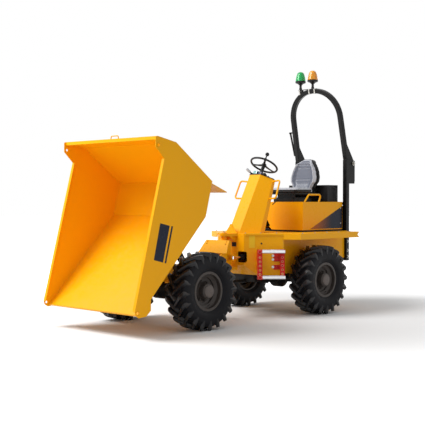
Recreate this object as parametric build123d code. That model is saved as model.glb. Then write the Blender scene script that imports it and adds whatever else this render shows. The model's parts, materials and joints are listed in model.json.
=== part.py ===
"""Centre-articulated, front-tipping site dumper, standing with its skip fully tipped.

Millimetres. +X is forward, +Y is the machine's left, +Z is up. The origin is on the ground,
under the articulation pin. A wheel axis lies on X = +AXLE_X (front) or -AXLE_X (rear).
Profiles of the skip and the frames are drawn in the XZ plane and extruded along Y.
Bodies: rear frame (root), front frame, skip, four wheels, two cylinders, roll bar hoop,
engine cover with the seat, steering wheel.
"""
from math import atan2, cos, degrees, hypot, radians, sin
import os

from build123d import *

# ---------------------------------------------------------------- driving dimensions
AXLE_X = 1030.0              # each axle from the articulation pin
TRACK_HALF = 640.0           # tyre centre from the middle of the machine
RUN_GAP = 5.0                # air between pieces that move past each other
SEAT_GAP = 0.3               # air under soft pieces and between curved seats
PLATE = 10.0                 # frame plate
SHEET = 5.0                  # bent cover sheet

# wheels
TYRE_R = 422.5
AXLE_Z = 422.5               # axle height that the frames are drawn at; other tyres lift them
TYRE_W = 285.0
BEAD_R = 196.0
TYRE_WALL = 24.0
RIM_FLANGE_R = 214.0
RIM_W = 222.0
RIM_T = 9.0
HUB_R = 83.0
HUB_OUT = 118.0              # hub cap face from the tyre centre
SPINDLE_R = 30.0
SPINDLE_FIT = 0.05
AXLE_TUBE_R = 58.0
AXLE_FLANGE_R = 88.0
DIFF_R = 128.0
DIFF_HALF = 58.0
DIFF_CONE = 72.0
PAD_HALF = 70.0              # axle pad, along the machine
PINION_OUT = 26.0            # pinion boss beyond the differential housing
PINION_R = 44.0
PROP_Z = 405.0               # propshafts, below the frames
PROP_R = 20.0
PROP_EYE_R = 24.0
PROP_PIN_R = 9.0
GUARD_FRONT_X = -330.0       # belly guard round the transmission
GUARD_REAR_X = -AXLE_X + 190.0

# rear frame, plan view
NOSE_X = -126.0
NOSE_HALF = 213.0
FACET_L = 331.0              # length along X of the 45 degree side facets
FACET_X = NOSE_X - FACET_L
REAR_HALF = 400.0            # chassis half width beside the rear wheels
REAR_X = -AXLE_X - 865.0     # rear wall; the roll bar posts stand against it
DECK_Z = 1000.0              # top of the footplate
DECK_T = 5.0
CHASSIS_BOTTOM = 500.0
NOSE_BOTTOM = 620.0
TAIL_BOTTOM = 650.0
DECK_OVERHANG = 8.0          # footplate beyond the facets, square to them
FENDER_HALF = TRACK_HALF + 100.0
FENDER_FRONT_X = -AXLE_X + 477.0
FENDER_REAR_X = -AXLE_X - 718.0
DECK_LIP = 24.0
FENDER_LIP = 72.0
TONGUE = (100.0, 26.0, 1112.0)             # plate ahead of the console: half widths, top

# articulation
PIN_R = 25.0
PIN_FIT = 0.05
LUG_T = 35.0
UPPER_LUG_Z = DECK_Z - LUG_T               # underside of the upper lug
LUG_R = 60.0
LUG_ROOT = 110.0             # half width of a lug where it meets the nose
LUG_RIB_Y = 78.0             # ribs under the upper lug
LOWER_LUG_Z = 560.0
YOKE_HALF = 154.0            # outside of the front frame's side plates
YOKE_T = 16.0
YOKE_REAR_X = 35.0
YOKE_SLOPE = ((98.0, 918.0), (138.0, 862.0), (194.0, 768.0))
YOKE_TOP = YOKE_SLOPE[0][1]
GUARD_HALVES = (YOKE_HALF + 36.0, YOKE_HALF + 51.0, YOKE_HALF + 81.0)      # down the guard's slope
YOKE_GUARD_T = 8.0
PIVOT_TUBE_R = 48.0

# steering cylinder, plan view at its own height
STEER_RAM_Z = 718.0
STEER_REAR = (NOSE_X - 294.0, 165.0)
STEER_FRONT = (60.0, YOKE_HALF + 48.0)
STEER_BORE_R = 22.0
STEER_BARREL_R = 28.0
STEER_ROD_R = 13.0
STEER_BARREL_L = 325.0
STEER_PIN_R = 14.0

# skip, profile in XZ when tipped
SKIP_HALF = 760.0
SKIP_T = 6.0
TIP_PIVOT = (AXLE_X + 130.0, 920.0)
APEX = (TIP_PIVOT[0] - 175.0, 1602.0)
HEEL = (TIP_PIVOT[0] - 73.0, 1221.0)
WALL_TOP = (TIP_PIVOT[0] + 360.0, 1997.0)
HEAD_TOP = (TIP_PIVOT[0] + 621.0, 2050.0)
LIP = (TIP_PIVOT[0] + 860.0, 246.0)
RIM_TOP = (TIP_PIVOT[0] + 528.0, 1822.0)
RIM_BOTTOM = (TIP_PIVOT[0] + 927.0, 292.0)
RIM_FLANGE = 38.0
LIP_BAR = (70.0, 18.0)       # wearing bar under the lip: width, thickness
GUARD_TIP = (TIP_PIVOT[0] - 410.0, 1490.0)              # rear edge of the plate behind the heel
GUARD_T = 8.0
EYE_R = 14.0
UPPER_EYE = (TIP_PIVOT[0] + 608.0, 1960.0)
LOWER_EYE = (TIP_PIVOT[0] + 892.0, 274.0)
TIP_PIN_R = 22.0
TIP_PIN_FIT = 0.05
TIP_BOSS_R = 55.0
TIP_ANGLE = 72.0

# tip cylinder, in the middle plane
TIP_RAM_BASE = (AXLE_X - 480.0, 480.0)
TIP_RAM_EYE = (TIP_PIVOT[0] - 144.0, 1168.0)
TIP_BORE_R = 35.0
TIP_BARREL_R = 44.0
TIP_ROD_R = 20.0
TIP_BARREL_L = 450.0
BASE_PIN_R = 18.0

# step on the left facet
STEP_ALONG = 318.0           # middle of the step from the facet's front end
STEP_HALF = 165.0            # outer edges of the uprights
STEP_RAIL_W = 58.0
STEP_HOLES = 5
STEP_TOP_Z = 790.0
STEP_LOW_Z = 460.0

# tail
GRILLE_LOW = 800.0
GRILLE_HIGH = 1330.0
HITCH_Z = (665.0, 735.0)     # undersides of the hitch's two jaws
HITCH_R = 45.0
HITCH_PIN_R = 16.0
OVERALL_HALF = AXLE_X + 1065.0             # hitch end from the articulation pin

# console
RAIL_R = 11.0
TOWER_FOOT = (-175.0, 88.0, -380.0, 250.0, -460.0)    # front x, half front, side x, half, rear x
TOWER_HEAD = (-571.0, 87.0, -678.0, 200.0, -717.0)
TOWER_TOP_Z = 1720.0
TOWER_REAR_TOP_Z = 1640.0
WHEEL_HUB = (-739.0, 1842.0)
COLUMN_TILT = 31.0
STEER_WHEEL_R = 172.0
STEER_RIM_R = 13.0
STEER_HUB_R = 30.0
STEER_HUB_T = 34.0
STEER_SHAFT_R = 11.0
COLUMN_R = 22.0
KNOB_TURN = -48.0            # place of the spinner knob round the wheel

# engine cover and seat
COVER_FRONT_X = REAR_X + 855.0
COVER_REAR_X = REAR_X + 25.0
COVER_HALF = 385.0
COVER_BOTTOM = DECK_Z + 22.0
COVER_TOP = 1380.0
COVER_HINGE = (REAR_X + 2.0, COVER_TOP - 22.0)
HINGE_KNUCKLE_R = 14.0
HINGE_PIN_R = 8.0
HINGE_KNUCKLES = ((-280.0, -230.0), (230.0, 280.0))
SEAT_HALF = 258.0
SEAT_FRONT_X = COVER_FRONT_X - 45.0
SEAT_BACK_X = COVER_FRONT_X - 430.0
SEAT_BACK_HALF = 225.0
PAN_Z = COVER_TOP + 115.0    # top of the seat's steel pan
SEAT_TOP_Z = PAN_Z + 67.0
BACK_TOP_Z = PAN_Z + 450.0
AIR_BOX_TOP = COVER_TOP + 220.0

# roll bar
POST_W = 60.0
POST_X = REAR_X - 5.0 - POST_W / 2
POST_Y = 402.0
POST_WALL = 6.0
POST_BOTTOM = 605.0
PLATE_LOW_Z = 1622.0         # lower edge of the fold plates behind the posts
HINGE_PIN = (POST_X - POST_W / 2 - 85.0, 1890.0)
HOOP_START_Z = 1940.0
HOOP_LEAN = 12.0
HOOP_LENGTH = 968.0          # foot to the crown's outer face
HOOP_DRAW_IN = 16.0          # each leg leans in by this from foot to crown
HOOP_FOOT = 12.0
HOOP_PIN_R = 14.0
BEACON_Y = (-206.0, 0.0)     # green, amber
BEACON_R = 58.0

MIDDLE_PLANE = Plane((0, 0, 0), x_dir=(1, 0, 0), z_dir=(0, -1, 0))


# ---------------------------------------------------------------- construction helpers
def box(x0, x1, y0, y1, z0, z1):
    """Box between two opposite corners."""
    centre = ((x0 + x1) / 2, (y0 + y1) / 2, (z0 + z1) / 2)
    return Pos(*centre) * Box(abs(x1 - x0), abs(y1 - y0), abs(z1 - z0))


def side_plate(points, y0, y1):
    """Plate whose outline lies in the XZ plane, between two Y values."""
    plane = Plane((0, (y0 + y1) / 2, 0), x_dir=(1, 0, 0), z_dir=(0, -1, 0))
    face = make_face(Polyline(*points, close=True))
    return extrude(plane * face, amount=abs(y1 - y0) / 2, both=True)


def flat_plate(points, z0, z1):
    """Plate whose outline lies in the XY plane, between two Z values."""
    face = make_face(Polyline(*points, close=True))
    return extrude(Pos(0, 0, z0) * face, amount=z1 - z0)


def mirrored(half):
    """Closed outline from the left half's points, listed front to rear."""
    return half + [(x, -y) for x, y in reversed(half)]


def pin_y(x, z, radius, y0, y1):
    """Round bar along Y."""
    turn = Rot(90, 0, 0)
    return Pos(x, (y0 + y1) / 2, z) * turn * Cylinder(radius, abs(y1 - y0))


def pin_z(x, y, radius, z0, z1):
    """Round bar along Z."""
    return Pos(x, y, (z0 + z1) / 2) * Cylinder(radius, z1 - z0)


def pin_x(x0, x1, radius):
    """Round bar along X in the middle plane, at the propshafts' height."""
    turn = Rot(0, 90, 0)
    return Pos((x0 + x1) / 2, 0, PROP_Z) * turn * Cylinder(radius, abs(x1 - x0))


def rod_between(start, end, radius):
    """Round bar between two points."""
    axis = Vector(*end) - Vector(*start)
    middle = Vector(*start) + axis * 0.5
    plane = Plane(origin=middle, z_dir=axis)
    return plane * Cylinder(radius, axis.length)


def bent_bar(points, bends, radius):
    """Round bar along straight runs joined by arcs."""
    path = FilletPolyline(*points, radius=bends)
    section = Plane(origin=path @ 0, z_dir=path % 0) * Circle(radius)
    return sweep(section, path=path)


def along(start, end, distance):
    """Point at a distance from start towards end, in a plane."""
    length = hypot(end[0] - start[0], end[1] - start[1])
    return tuple(a + (b - a) * distance / length for a, b in zip(start, end))


def shifted(start, end, offset):
    """Both points moved sideways; a positive offset is to the left of the direction."""
    dx, dz = end[0] - start[0], end[1] - start[1]
    length = hypot(dx, dz)
    nx, nz = -dz / length * offset, dx / length * offset
    return (start[0] + nx, start[1] + nz), (end[0] + nx, end[1] + nz)


def crossing(a, b, c, d):
    """Where the line a-b meets the line c-d, in a plane."""
    rx, rz = b[0] - a[0], b[1] - a[1]
    sx, sz = d[0] - c[0], d[1] - c[1]
    t = ((c[0] - a[0]) * sz - (c[1] - a[1]) * sx) / (rx * sz - rz * sx)
    return (a[0] + t * rx, a[1] + t * rz)


def inset_outline(points, depth):
    """Outline of straight sides moved inwards by depth; points run clockwise or not."""
    area = sum(a[0] * b[1] - b[0] * a[1] for a, b in zip(points, points[1:] + points[:1]))
    offset = depth if area > 0 else -depth
    sides = [shifted(a, b, offset) for a, b in zip(points, points[1:] + points[:1])]
    return [crossing(*sides[i - 1], *sides[i]) for i in range(len(points))]


# ---------------------------------------------------------------- wheels and axles
def tyre_profile():
    """Cross-section of a tyre: axial place against radius, outer skin then inner skin."""
    half = TYRE_W / 2
    bead = RIM_W / 2 - RIM_T - 1
    return [
        (-bead, BEAD_R), (-bead, RIM_FLANGE_R + 2), (-half, BEAD_R + 90), (-half + 4, TYRE_R - 60),
        (-half + 22, TYRE_R - 10),
        (-half * 0.5, TYRE_R), (half * 0.5, TYRE_R), (half - 22, TYRE_R - 10), (half - 4, TYRE_R - 60),
        (half, BEAD_R + 90), (bead, RIM_FLANGE_R + 2), (bead, BEAD_R), (bead - TYRE_WALL, BEAD_R),
        (half - TYRE_WALL, BEAD_R + 90), (half - TYRE_WALL - 14, TYRE_R - 58),
        (-half + TYRE_WALL + 14, TYRE_R - 58), (-half + TYRE_WALL, BEAD_R + 90), (-bead + TYRE_WALL, BEAD_R),
    ]


def tyre(x, y):
    """Hollow tyre on a wheel axis that runs along Y."""
    face = make_face(Polyline(*tyre_profile(), close=True))
    ring = revolve(face, Axis.X)
    return Pos(x, y, TYRE_R) * Rot(0, 0, 90) * ring


def rim_profile():
    """Half-section of rim, dish and hub. Axial place is outwards from the tyre centre."""
    half = RIM_W / 2
    drop = BEAD_R - 46
    seat = BEAD_R - SEAT_GAP
    return [
        (-half, seat), (-half, RIM_FLANGE_R), (-half + RIM_T, RIM_FLANGE_R), (-half + RIM_T, seat),
        (-50, seat), (-30, drop + RIM_T), (40, drop + RIM_T), (60, seat),
        (half - RIM_T, seat), (half - RIM_T, RIM_FLANGE_R), (half, RIM_FLANGE_R), (half, seat - RIM_T),
        (64, seat - RIM_T), (42, drop), (22, drop), (14, HUB_R + 40), (14, HUB_R + 22), (40, HUB_R),
        (HUB_OUT - 12, HUB_R), (HUB_OUT, HUB_R - 14), (HUB_OUT, 0), (30, 0),
        (30, SPINDLE_R + SPINDLE_FIT), (-95, SPINDLE_R + SPINDLE_FIT), (-95, HUB_R), (0, HUB_R),
        (0, HUB_R + 40), (10, drop), (-34, drop), (-54, seat - RIM_T),
    ]


def rim(x, y):
    """Deep-dished steel rim with its hub, outwards on the side of y."""
    face = make_face(Polyline(*rim_profile(), close=True))
    solid = revolve(face, Axis.X)
    turn = 90 if y > 0 else -90
    return Pos(x, y, TYRE_R) * Rot(0, 0, turn) * solid


def axle(x):
    """Driven beam axle: tube, differential housing with its pinion boss, flanges and spindles."""
    flange_y = TRACK_HALF - 95 - RUN_GAP
    inwards = -1 if x > 0 else 1
    beam = pin_y(x, AXLE_Z, AXLE_TUBE_R, -flange_y + 20, flange_y - 20)
    beam += Pos(x, 0, AXLE_Z) * Rot(90, 0, 0) * Cylinder(DIFF_R, 2 * DIFF_HALF)
    for side, turn in ((1, -90), (-1, 90)):
        cone = Rot(turn, 0, 0) * Cone(DIFF_R, AXLE_TUBE_R, DIFF_CONE)
        beam += Pos(x, side * (DIFF_HALF + DIFF_CONE / 2), AXLE_Z) * cone
        beam += pin_y(x, AXLE_Z, AXLE_FLANGE_R, side * (flange_y - 45), side * flange_y)
        beam += pin_y(x, AXLE_Z, SPINDLE_R, side * flange_y, side * (TRACK_HALF + 20))
    return beam + pin_x(x + inwards * 90, x + inwards * (DIFF_R + PINION_OUT), PINION_R)


def front_propshaft():
    """Shaft from the front axle back to its joint under the articulation pin."""
    shaft = pin_x(PROP_EYE_R - 4, AXLE_X - DIFF_R - PINION_OUT, PROP_R)
    shaft += pin_x(AXLE_X - DIFF_R - PINION_OUT - 14, AXLE_X - DIFF_R - PINION_OUT, PINION_R - 6)
    shaft += pin_z(0, 0, PROP_EYE_R, PROP_Z - PROP_R + 3, PROP_Z + PROP_R - 3)
    return shaft - pin_z(0, 0, PROP_PIN_R + PIN_FIT, PROP_Z - PROP_R, PROP_Z + PROP_R)


def rear_propshafts():
    """Shafts out of the transmission: forward to the joint's fork, and back to the rear axle."""
    shafts = pin_x(GUARD_FRONT_X - 70, -62, PROP_R)
    shafts += box(-66, -50, -PROP_EYE_R, PROP_EYE_R, PROP_Z - 30, PROP_Z + 30)
    for z in (PROP_Z - 30, PROP_Z + 22):
        shafts += box(-52, 0, -PROP_EYE_R, PROP_EYE_R, z, z + 8) + pin_z(0, 0, PROP_EYE_R, z, z + 8)
    shafts += pin_z(0, 0, PROP_PIN_R, PROP_Z - 36, PROP_Z + 36)
    pinion_x = -AXLE_X + DIFF_R + PINION_OUT
    shafts += pin_x(GUARD_REAR_X + 60, pinion_x, PROP_R)
    return shafts + pin_x(pinion_x, pinion_x + 14, PINION_R - 6)


# ---------------------------------------------------------------- rear frame
def chassis_half():
    """Left half of the rear chassis in plan: nose, 45 degree facet, set-in side."""
    facet_y = NOSE_HALF + (NOSE_X - FACET_X)
    return [
        (NOSE_X, NOSE_HALF), (FACET_X, facet_y), (FACET_X - 25, facet_y),
        (FACET_X - 85, REAR_HALF), (REAR_X, REAR_HALF),
    ]


def rear_chassis():
    """Plate box with a narrow nose, open to the engine above, its floor cut up at both ends."""
    outline = mirrored(chassis_half())
    top = DECK_Z - DECK_T
    walls = flat_plate(outline, CHASSIS_BOTTOM, top)
    walls -= flat_plate(inset_outline(outline, PLATE), CHASSIS_BOTTOM + PLATE, top)
    slope_x = NOSE_X - (NOSE_BOTTOM - CHASSIS_BOTTOM)
    tail_x = -AXLE_X - 480
    below = CHASSIS_BOTTOM - 50
    reach = FENDER_HALF
    nose_cut = [(NOSE_X + 20, NOSE_BOTTOM), (NOSE_X, NOSE_BOTTOM), (slope_x, CHASSIS_BOTTOM - 1),
                (slope_x, below), (NOSE_X + 20, below)]
    tail_cut = [(REAR_X - 20, TAIL_BOTTOM), (REAR_X, TAIL_BOTTOM), (tail_x, CHASSIS_BOTTOM - 1),
                (tail_x, below), (REAR_X - 20, below)]
    walls -= side_plate(nose_cut, -reach, reach)
    walls -= side_plate(tail_cut, -reach, reach)
    nose_floor = [(NOSE_X, NOSE_BOTTOM), (NOSE_X, NOSE_BOTTOM + PLATE),
                  (slope_x, CHASSIS_BOTTOM + PLATE), (slope_x, CHASSIS_BOTTOM)]
    tail_floor = [(REAR_X, TAIL_BOTTOM), (REAR_X, TAIL_BOTTOM + PLATE),
                  (tail_x, CHASSIS_BOTTOM + PLATE), (tail_x, CHASSIS_BOTTOM)]
    inside = flat_plate(inset_outline(outline, PLATE / 2), CHASSIS_BOTTOM, top)
    for floor in (nose_floor, tail_floor):
        walls += side_plate(floor, -reach, reach) & inside
    window = Pos(0, 175, STEER_RAM_Z) * Rot(0, 90, 0) * RectangleRounded(132, 126, 22)
    walls -= extrude(Pos(NOSE_X - 70, 0, 0) * window, amount=90)
    room = DIFF_HALF + DIFF_CONE + 10
    walls -= box(-AXLE_X - DIFF_R - 12, -AXLE_X + DIFF_R + 12, -room, room,
                 CHASSIS_BOTTOM - 1, CHASSIS_BOTTOM + PLATE + 1)
    for side in (1, -1):
        walls += box(-AXLE_X - PAD_HALF, -AXLE_X + PAD_HALF, side * 230, side * 310,
                     AXLE_Z + AXLE_TUBE_R, CHASSIS_BOTTOM + 1)
    for x in (-AXLE_X - 310, -AXLE_X - 690):
        walls += box(x - 25, x + 25, -REAR_HALF + 2, REAR_HALF - 2, CHASSIS_BOTTOM + 95, CHASSIS_BOTTOM + 140)
    return walls


def console_tongue():
    """Round-topped plate that continues the nose upwards in front of the console."""
    low, high, top = TONGUE
    plane = Plane((NOSE_X, 0, 0), x_dir=(0, 1, 0), z_dir=(1, 0, 0))
    outline = make_face(Polyline((-low, DECK_Z - 60), (low, DECK_Z - 60), (low, DECK_Z), (high, top - high),
                                 (-high, top - high), (-low, DECK_Z), close=True))
    outline += Pos(0, top - high, 0) * Circle(high)
    return extrude(plane * outline, amount=-PLATE)


def pivot_lugs():
    """Two lugs ahead of the nose with the articulation pin between them."""
    lugs = None
    for z in (LOWER_LUG_Z, UPPER_LUG_Z):
        lug = flat_plate([(NOSE_X, -LUG_ROOT), (0, -LUG_R), (0, LUG_R), (NOSE_X, LUG_ROOT)], z, z + LUG_T)
        lug += pin_z(0, 0, LUG_R, z, z + LUG_T)
        lugs = lug if lugs is None else lugs + lug
    lugs += box(NOSE_X, NOSE_X + PLATE, -LUG_ROOT, LUG_ROOT, LOWER_LUG_Z, NOSE_BOTTOM + 60)
    rib = [(NOSE_X, UPPER_LUG_Z - 70), (NOSE_X, UPPER_LUG_Z), (NOSE_X + 96, UPPER_LUG_Z), (NOSE_X + 96, UPPER_LUG_Z - 8)]
    for side in (1, -1):
        lugs += side_plate(rib, side * LUG_RIB_Y, side * (LUG_RIB_Y - 12))
    lugs += pin_z(0, 0, PIN_R, LOWER_LUG_Z - 15, UPPER_LUG_Z + LUG_T + 12)
    lugs += pin_z(0, 0, PIN_R + 14, UPPER_LUG_Z + LUG_T, UPPER_LUG_Z + LUG_T + 8)
    return lugs


def steer_ram_anchor():
    """Lugs inside the chassis for the steering cylinder's rear eye."""
    x, y = STEER_REAR
    anchor = None
    for z0, z1 in ((STEER_RAM_Z - 47, STEER_RAM_Z - 35), (STEER_RAM_Z + 35, STEER_RAM_Z + 47)):
        lug = flat_plate([(x - 60, y - 45), (x + 35, y - 45), (x + 35, y + 45), (x - 60, y + 45)], z0, z1)
        anchor = lug if anchor is None else anchor + lug
    anchor += box(x - 72, x - 60, y - 60, y + 60, CHASSIS_BOTTOM + PLATE, STEER_RAM_Z + 60)
    anchor += pin_z(x, y, STEER_PIN_R, STEER_RAM_Z - 55, STEER_RAM_Z + 55)
    return anchor


def deck_half():
    """Left half of the footplate: narrow front, angled edge, mudguard over the wheel."""
    front_x = NOSE_X - PLATE
    front_y = NOSE_HALF + PLATE + DECK_OVERHANG * 2 ** 0.5
    corner_x = FACET_X
    corner_y = front_y + (front_x - corner_x)
    return [
        (front_x, front_y), (corner_x, corner_y), (FENDER_FRONT_X, FENDER_HALF),
        (FENDER_REAR_X, FENDER_HALF), (FENDER_REAR_X, REAR_HALF + 50), (REAR_X + 5, REAR_HALF + 50),
    ]


def deck_plate():
    """Footplate and mudguards in one sheet, with a folded-down edge and an engine opening."""
    outline = mirrored(deck_half())
    top = flat_plate(outline, DECK_Z - DECK_T, DECK_Z)
    rim_all = flat_plate(outline, DECK_Z - DECK_LIP, DECK_Z - DECK_T)
    rim_all -= flat_plate(inset_outline(outline, DECK_T), DECK_Z - DECK_LIP, DECK_Z - DECK_T)
    deep = flat_plate(outline, DECK_Z - FENDER_LIP, DECK_Z - DECK_LIP)
    deep -= flat_plate(inset_outline(outline, DECK_T), DECK_Z - FENDER_LIP, DECK_Z - DECK_LIP)
    outer = box(FENDER_REAR_X - 1, FACET_X, REAR_HALF + 45, FENDER_HALF + 1, 0, DECK_Z)
    outer += mirror(outer, Plane.XZ)
    deck = top + (rim_all + (deep & outer) - chassis_room())
    deck -= box(COVER_REAR_X + 45, COVER_FRONT_X - 60, -330, 330, DECK_Z - 20, DECK_Z + 20)
    notch = [(FENDER_REAR_X - 1, DECK_Z - 6), (FENDER_REAR_X + 34, DECK_Z - FENDER_LIP / 2),
             (FENDER_REAR_X - 1, DECK_Z - FENDER_LIP + 6)]
    for y0, y1 in ((FENDER_HALF - 30, FENDER_HALF + 5), (-FENDER_HALF - 5, -FENDER_HALF + 30)):
        deck -= side_plate(notch, y0, y1)
    return deck


def chassis_room():
    """Space of the rear chassis, kept out of the footplate's folded edge."""
    room = inset_outline(mirrored(chassis_half()), -SEAT_GAP)
    return flat_plate(room, DECK_Z - FENDER_LIP - 5, DECK_Z - DECK_T)


# ---------------------------------------------------------------- console
def tower_section(front_x, half_front, side_x, half, rear_x, inset, z_front, z_rear):
    """One closed six-sided section of the console, on a plane sloping to the rear."""
    points = inset_outline([
        (front_x, -half_front), (front_x, half_front), (side_x, half), (rear_x, half),
        (rear_x, -half), (side_x, -half),
    ], inset)
    slope = (z_rear - z_front) / (rear_x - front_x)
    corners = [Vector(x, y, z_front + (x - front_x) * slope) for x, y in points]
    return Face(Wire.make_polygon(corners, close=True))


def tower_skin(inset):
    """The console's whole volume, drawn in by a wall thickness."""
    foot = tower_section(*TOWER_FOOT, inset, DECK_Z, DECK_Z)
    head = tower_section(*TOWER_HEAD, inset, TOWER_TOP_Z, TOWER_REAR_TOP_Z)
    return Solid.make_loft([foot.outer_wire(), head.outer_wire()], ruled=True)


def console_tower():
    """Bent sheet column that leans back towards the driver and carries the steering."""
    return tower_skin(0) - tower_skin(SHEET)


def column_point(distance):
    """Point on the steering column's axis, measured up from the wheel's hub."""
    tilt = radians(COLUMN_TILT)
    return (WHEEL_HUB[0] - distance * sin(tilt), 0.0, WHEEL_HUB[1] + distance * cos(tilt))


def build_column():
    """Steering column from inside the console to just under the wheel's hub."""
    top = -STEER_HUB_T / 2 - RUN_GAP
    column = rod_between(column_point(-240), column_point(top), COLUMN_R)
    return column + rod_between(column_point(top - 1), column_point(0), STEER_SHAFT_R)


def dash_panel():
    """Instrument panel on the sloping top of the console, with the direction lever."""
    rear_top = (TOWER_HEAD[4], TOWER_REAR_TOP_Z)
    front_top = (TOWER_HEAD[0], TOWER_TOP_Z)
    lid = tower_section(*TOWER_HEAD, -4.0, TOWER_TOP_Z, TOWER_REAR_TOP_Z)
    up = Vector(front_top[1] - rear_top[1], 0, 0) * -1 + Vector(0, 0, front_top[0] - rear_top[0])
    panel = extrude(lid, amount=8, dir=up.normalized())
    low = shifted(front_top, rear_top, -8.0)
    pod_low = (along(low[0], low[1], 12), along(low[1], low[0], 20))
    pod_high = shifted(*pod_low, -34.0)
    pod = [*pod_low, along(pod_high[1], pod_high[0], 10), along(pod_high[0], pod_high[1], 34)]
    panel += side_plate(pod, -78, 78)
    panel -= rod_between(column_point(-300), column_point(10), COLUMN_R + SEAT_GAP)
    lever_foot = (TOWER_HEAD[0] - 40, -66, TOWER_TOP_Z - 10)
    lever_top = (TOWER_HEAD[0] + 4, -128, TOWER_TOP_Z + 66)
    lever_grip = (TOWER_HEAD[0] - 14, -102, TOWER_TOP_Z + 34)
    panel += rod_between(lever_foot, lever_top, 7)
    panel += rod_between(lever_grip, lever_top, 14)
    return panel


def handrails():
    """Bent-rod grab handle on each side of the console."""
    rails = None
    for side in (1, -1):
        points = [(-672, side * 196, 1632), (-662, side * 325, 1646), (-565, side * 340, 1425),
                  (-590, side * 208, 1420)]
        rail = bent_bar(points, 30, RAIL_R)
        rail -= tower_skin(0)
        rails = rail if rails is None else rails + rail
    return rails


def steering_wheel():
    """Three-spoke wheel with a spinner knob, in the plane square to its column."""
    axis = Vector(*column_point(1)) - Vector(*column_point(0))
    plane = Plane(origin=column_point(0), x_dir=(0, 1, 0), z_dir=axis)
    grip = Pos(STEER_WHEEL_R, 0, 0) * RegularPolygon(STEER_RIM_R, 8)
    wheel = revolve(Plane.XZ * grip, Axis.Z)
    wheel += Cylinder(STEER_HUB_R, STEER_HUB_T)
    for spoke in range(3):
        arm = Pos(STEER_WHEEL_R / 2, 0, 0) * Box(STEER_WHEEL_R, 22, 9)
        wheel += Rot(0, 0, KNOB_TURN + 120 * spoke) * arm
    wheel -= Pos(0, 0, -STEER_HUB_T / 4) * Cylinder(STEER_SHAFT_R + PIN_FIT, STEER_HUB_T / 2 + 8)
    profile = make_face(Polyline((0, 0), (8, 0), (8, 52), (19, 60), (25, 74), (19, 90), (0, 96), close=True))
    knob = Rot(0, 0, KNOB_TURN) * Pos(STEER_WHEEL_R, 0, 0) * revolve(Plane.XZ * profile, Axis.Z)
    return plane * (wheel + knob)


# ---------------------------------------------------------------- seat and engine cover
def engine_cover():
    """Folded sheet box over the engine, open below and behind, one lower front corner cut away."""
    cover = box(COVER_REAR_X, COVER_FRONT_X, -COVER_HALF, COVER_HALF, COVER_BOTTOM, COVER_TOP)
    cover -= box(COVER_REAR_X - 1, COVER_FRONT_X - SHEET, -COVER_HALF + SHEET, COVER_HALF - SHEET,
                 COVER_BOTTOM - 10, COVER_TOP - SHEET)
    corner = Plane((COVER_FRONT_X, 0, 0), x_dir=(0, 1, 0), z_dir=(1, 0, 0))
    cut = make_face(Polyline((-COVER_HALF - 10, COVER_BOTTOM + 120), (-270, COVER_BOTTOM + 120),
                             (-120, COVER_BOTTOM - 5), (-COVER_HALF - 10, COVER_BOTTOM - 5), close=True))
    cover -= extrude(corner * cut, amount=40, both=True)
    hx, hz = COVER_HINGE
    for y0, y1 in HINGE_KNUCKLES:
        cover += pin_y(hx, hz, HINGE_KNUCKLE_R, y0, y1)
        cover += box(hx, COVER_REAR_X + 30, y0, y1, hz + HINGE_PIN_R + 1, COVER_TOP - SHEET)
        cover -= pin_y(hx, hz, HINGE_PIN_R + PIN_FIT, y0 - 1, y1 + 1)
    return cover


def cover_hinge_bar():
    """Cross bar between the posts with two hinge pins for the engine cover."""
    hx, hz = COVER_HINGE
    half = POST_Y - POST_W / 2 + 1
    bar_x = hx - HINGE_KNUCKLE_R - RUN_GAP
    bar = box(bar_x - 30, bar_x, -half, half, hz - 18, hz + 18)
    for y0, y1 in HINGE_KNUCKLES:
        bar += pin_y(hx, hz, HINGE_PIN_R, y0 - 16, y1 + 16)
        for foot in (y0 - 16, y1 + 6):
            bar += box(bar_x - 1, hx, foot, foot + 10, hz - 12, hz + 12)
            bar += pin_y(hx, hz, 12, foot, foot + 10)
    return bar


def cover_seal():
    """Rubber strip on the footplate that the closed cover rests on."""
    outer = box(COVER_REAR_X + 2, COVER_FRONT_X - 2, -COVER_HALF + 2, COVER_HALF - 2,
                DECK_Z, COVER_BOTTOM - SEAT_GAP)
    inner = box(COVER_REAR_X - 1, COVER_FRONT_X - 20, -COVER_HALF + 20, COVER_HALF - 20,
                DECK_Z - 1, COVER_BOTTOM)
    return outer - inner


def cover_handle():
    """Hoop handle on the cover's left edge."""
    y = COVER_HALF - 35
    low, high = COVER_TOP - 6, COVER_TOP + 92
    x = COVER_FRONT_X
    points = [(x - 73, y, low), (x - 165, y, high), (x - 419, y, high), (x - 367, y, low)]
    room = box(COVER_REAR_X, COVER_FRONT_X, y - 50, y + 50, COVER_TOP - 60, COVER_TOP - SHEET)
    return bent_bar(points, 28, RAIL_R) - room


def seat_base():
    """Suspension base and pan under the cushion."""
    rear, front = SEAT_BACK_X, SEAT_FRONT_X
    base = box(rear - 30, front - 45, -170, 170, COVER_TOP, COVER_TOP + 45)
    base += box(rear, front - 75, -130, 130, COVER_TOP + 45, PAN_Z - 20)
    base += box(rear - 60, front - 20, -210, 210, PAN_Z - 20, PAN_Z)
    return base


def seat_cushion():
    """Simple closed cushion over the pan."""
    z0 = PAN_Z + SEAT_GAP
    outline = RectangleRounded(SEAT_FRONT_X - SEAT_BACK_X, 2 * SEAT_HALF - 30, 60)
    block = extrude(Pos((SEAT_FRONT_X + SEAT_BACK_X) / 2, 0, z0) * outline, amount=SEAT_TOP_Z - z0)
    return block


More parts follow.
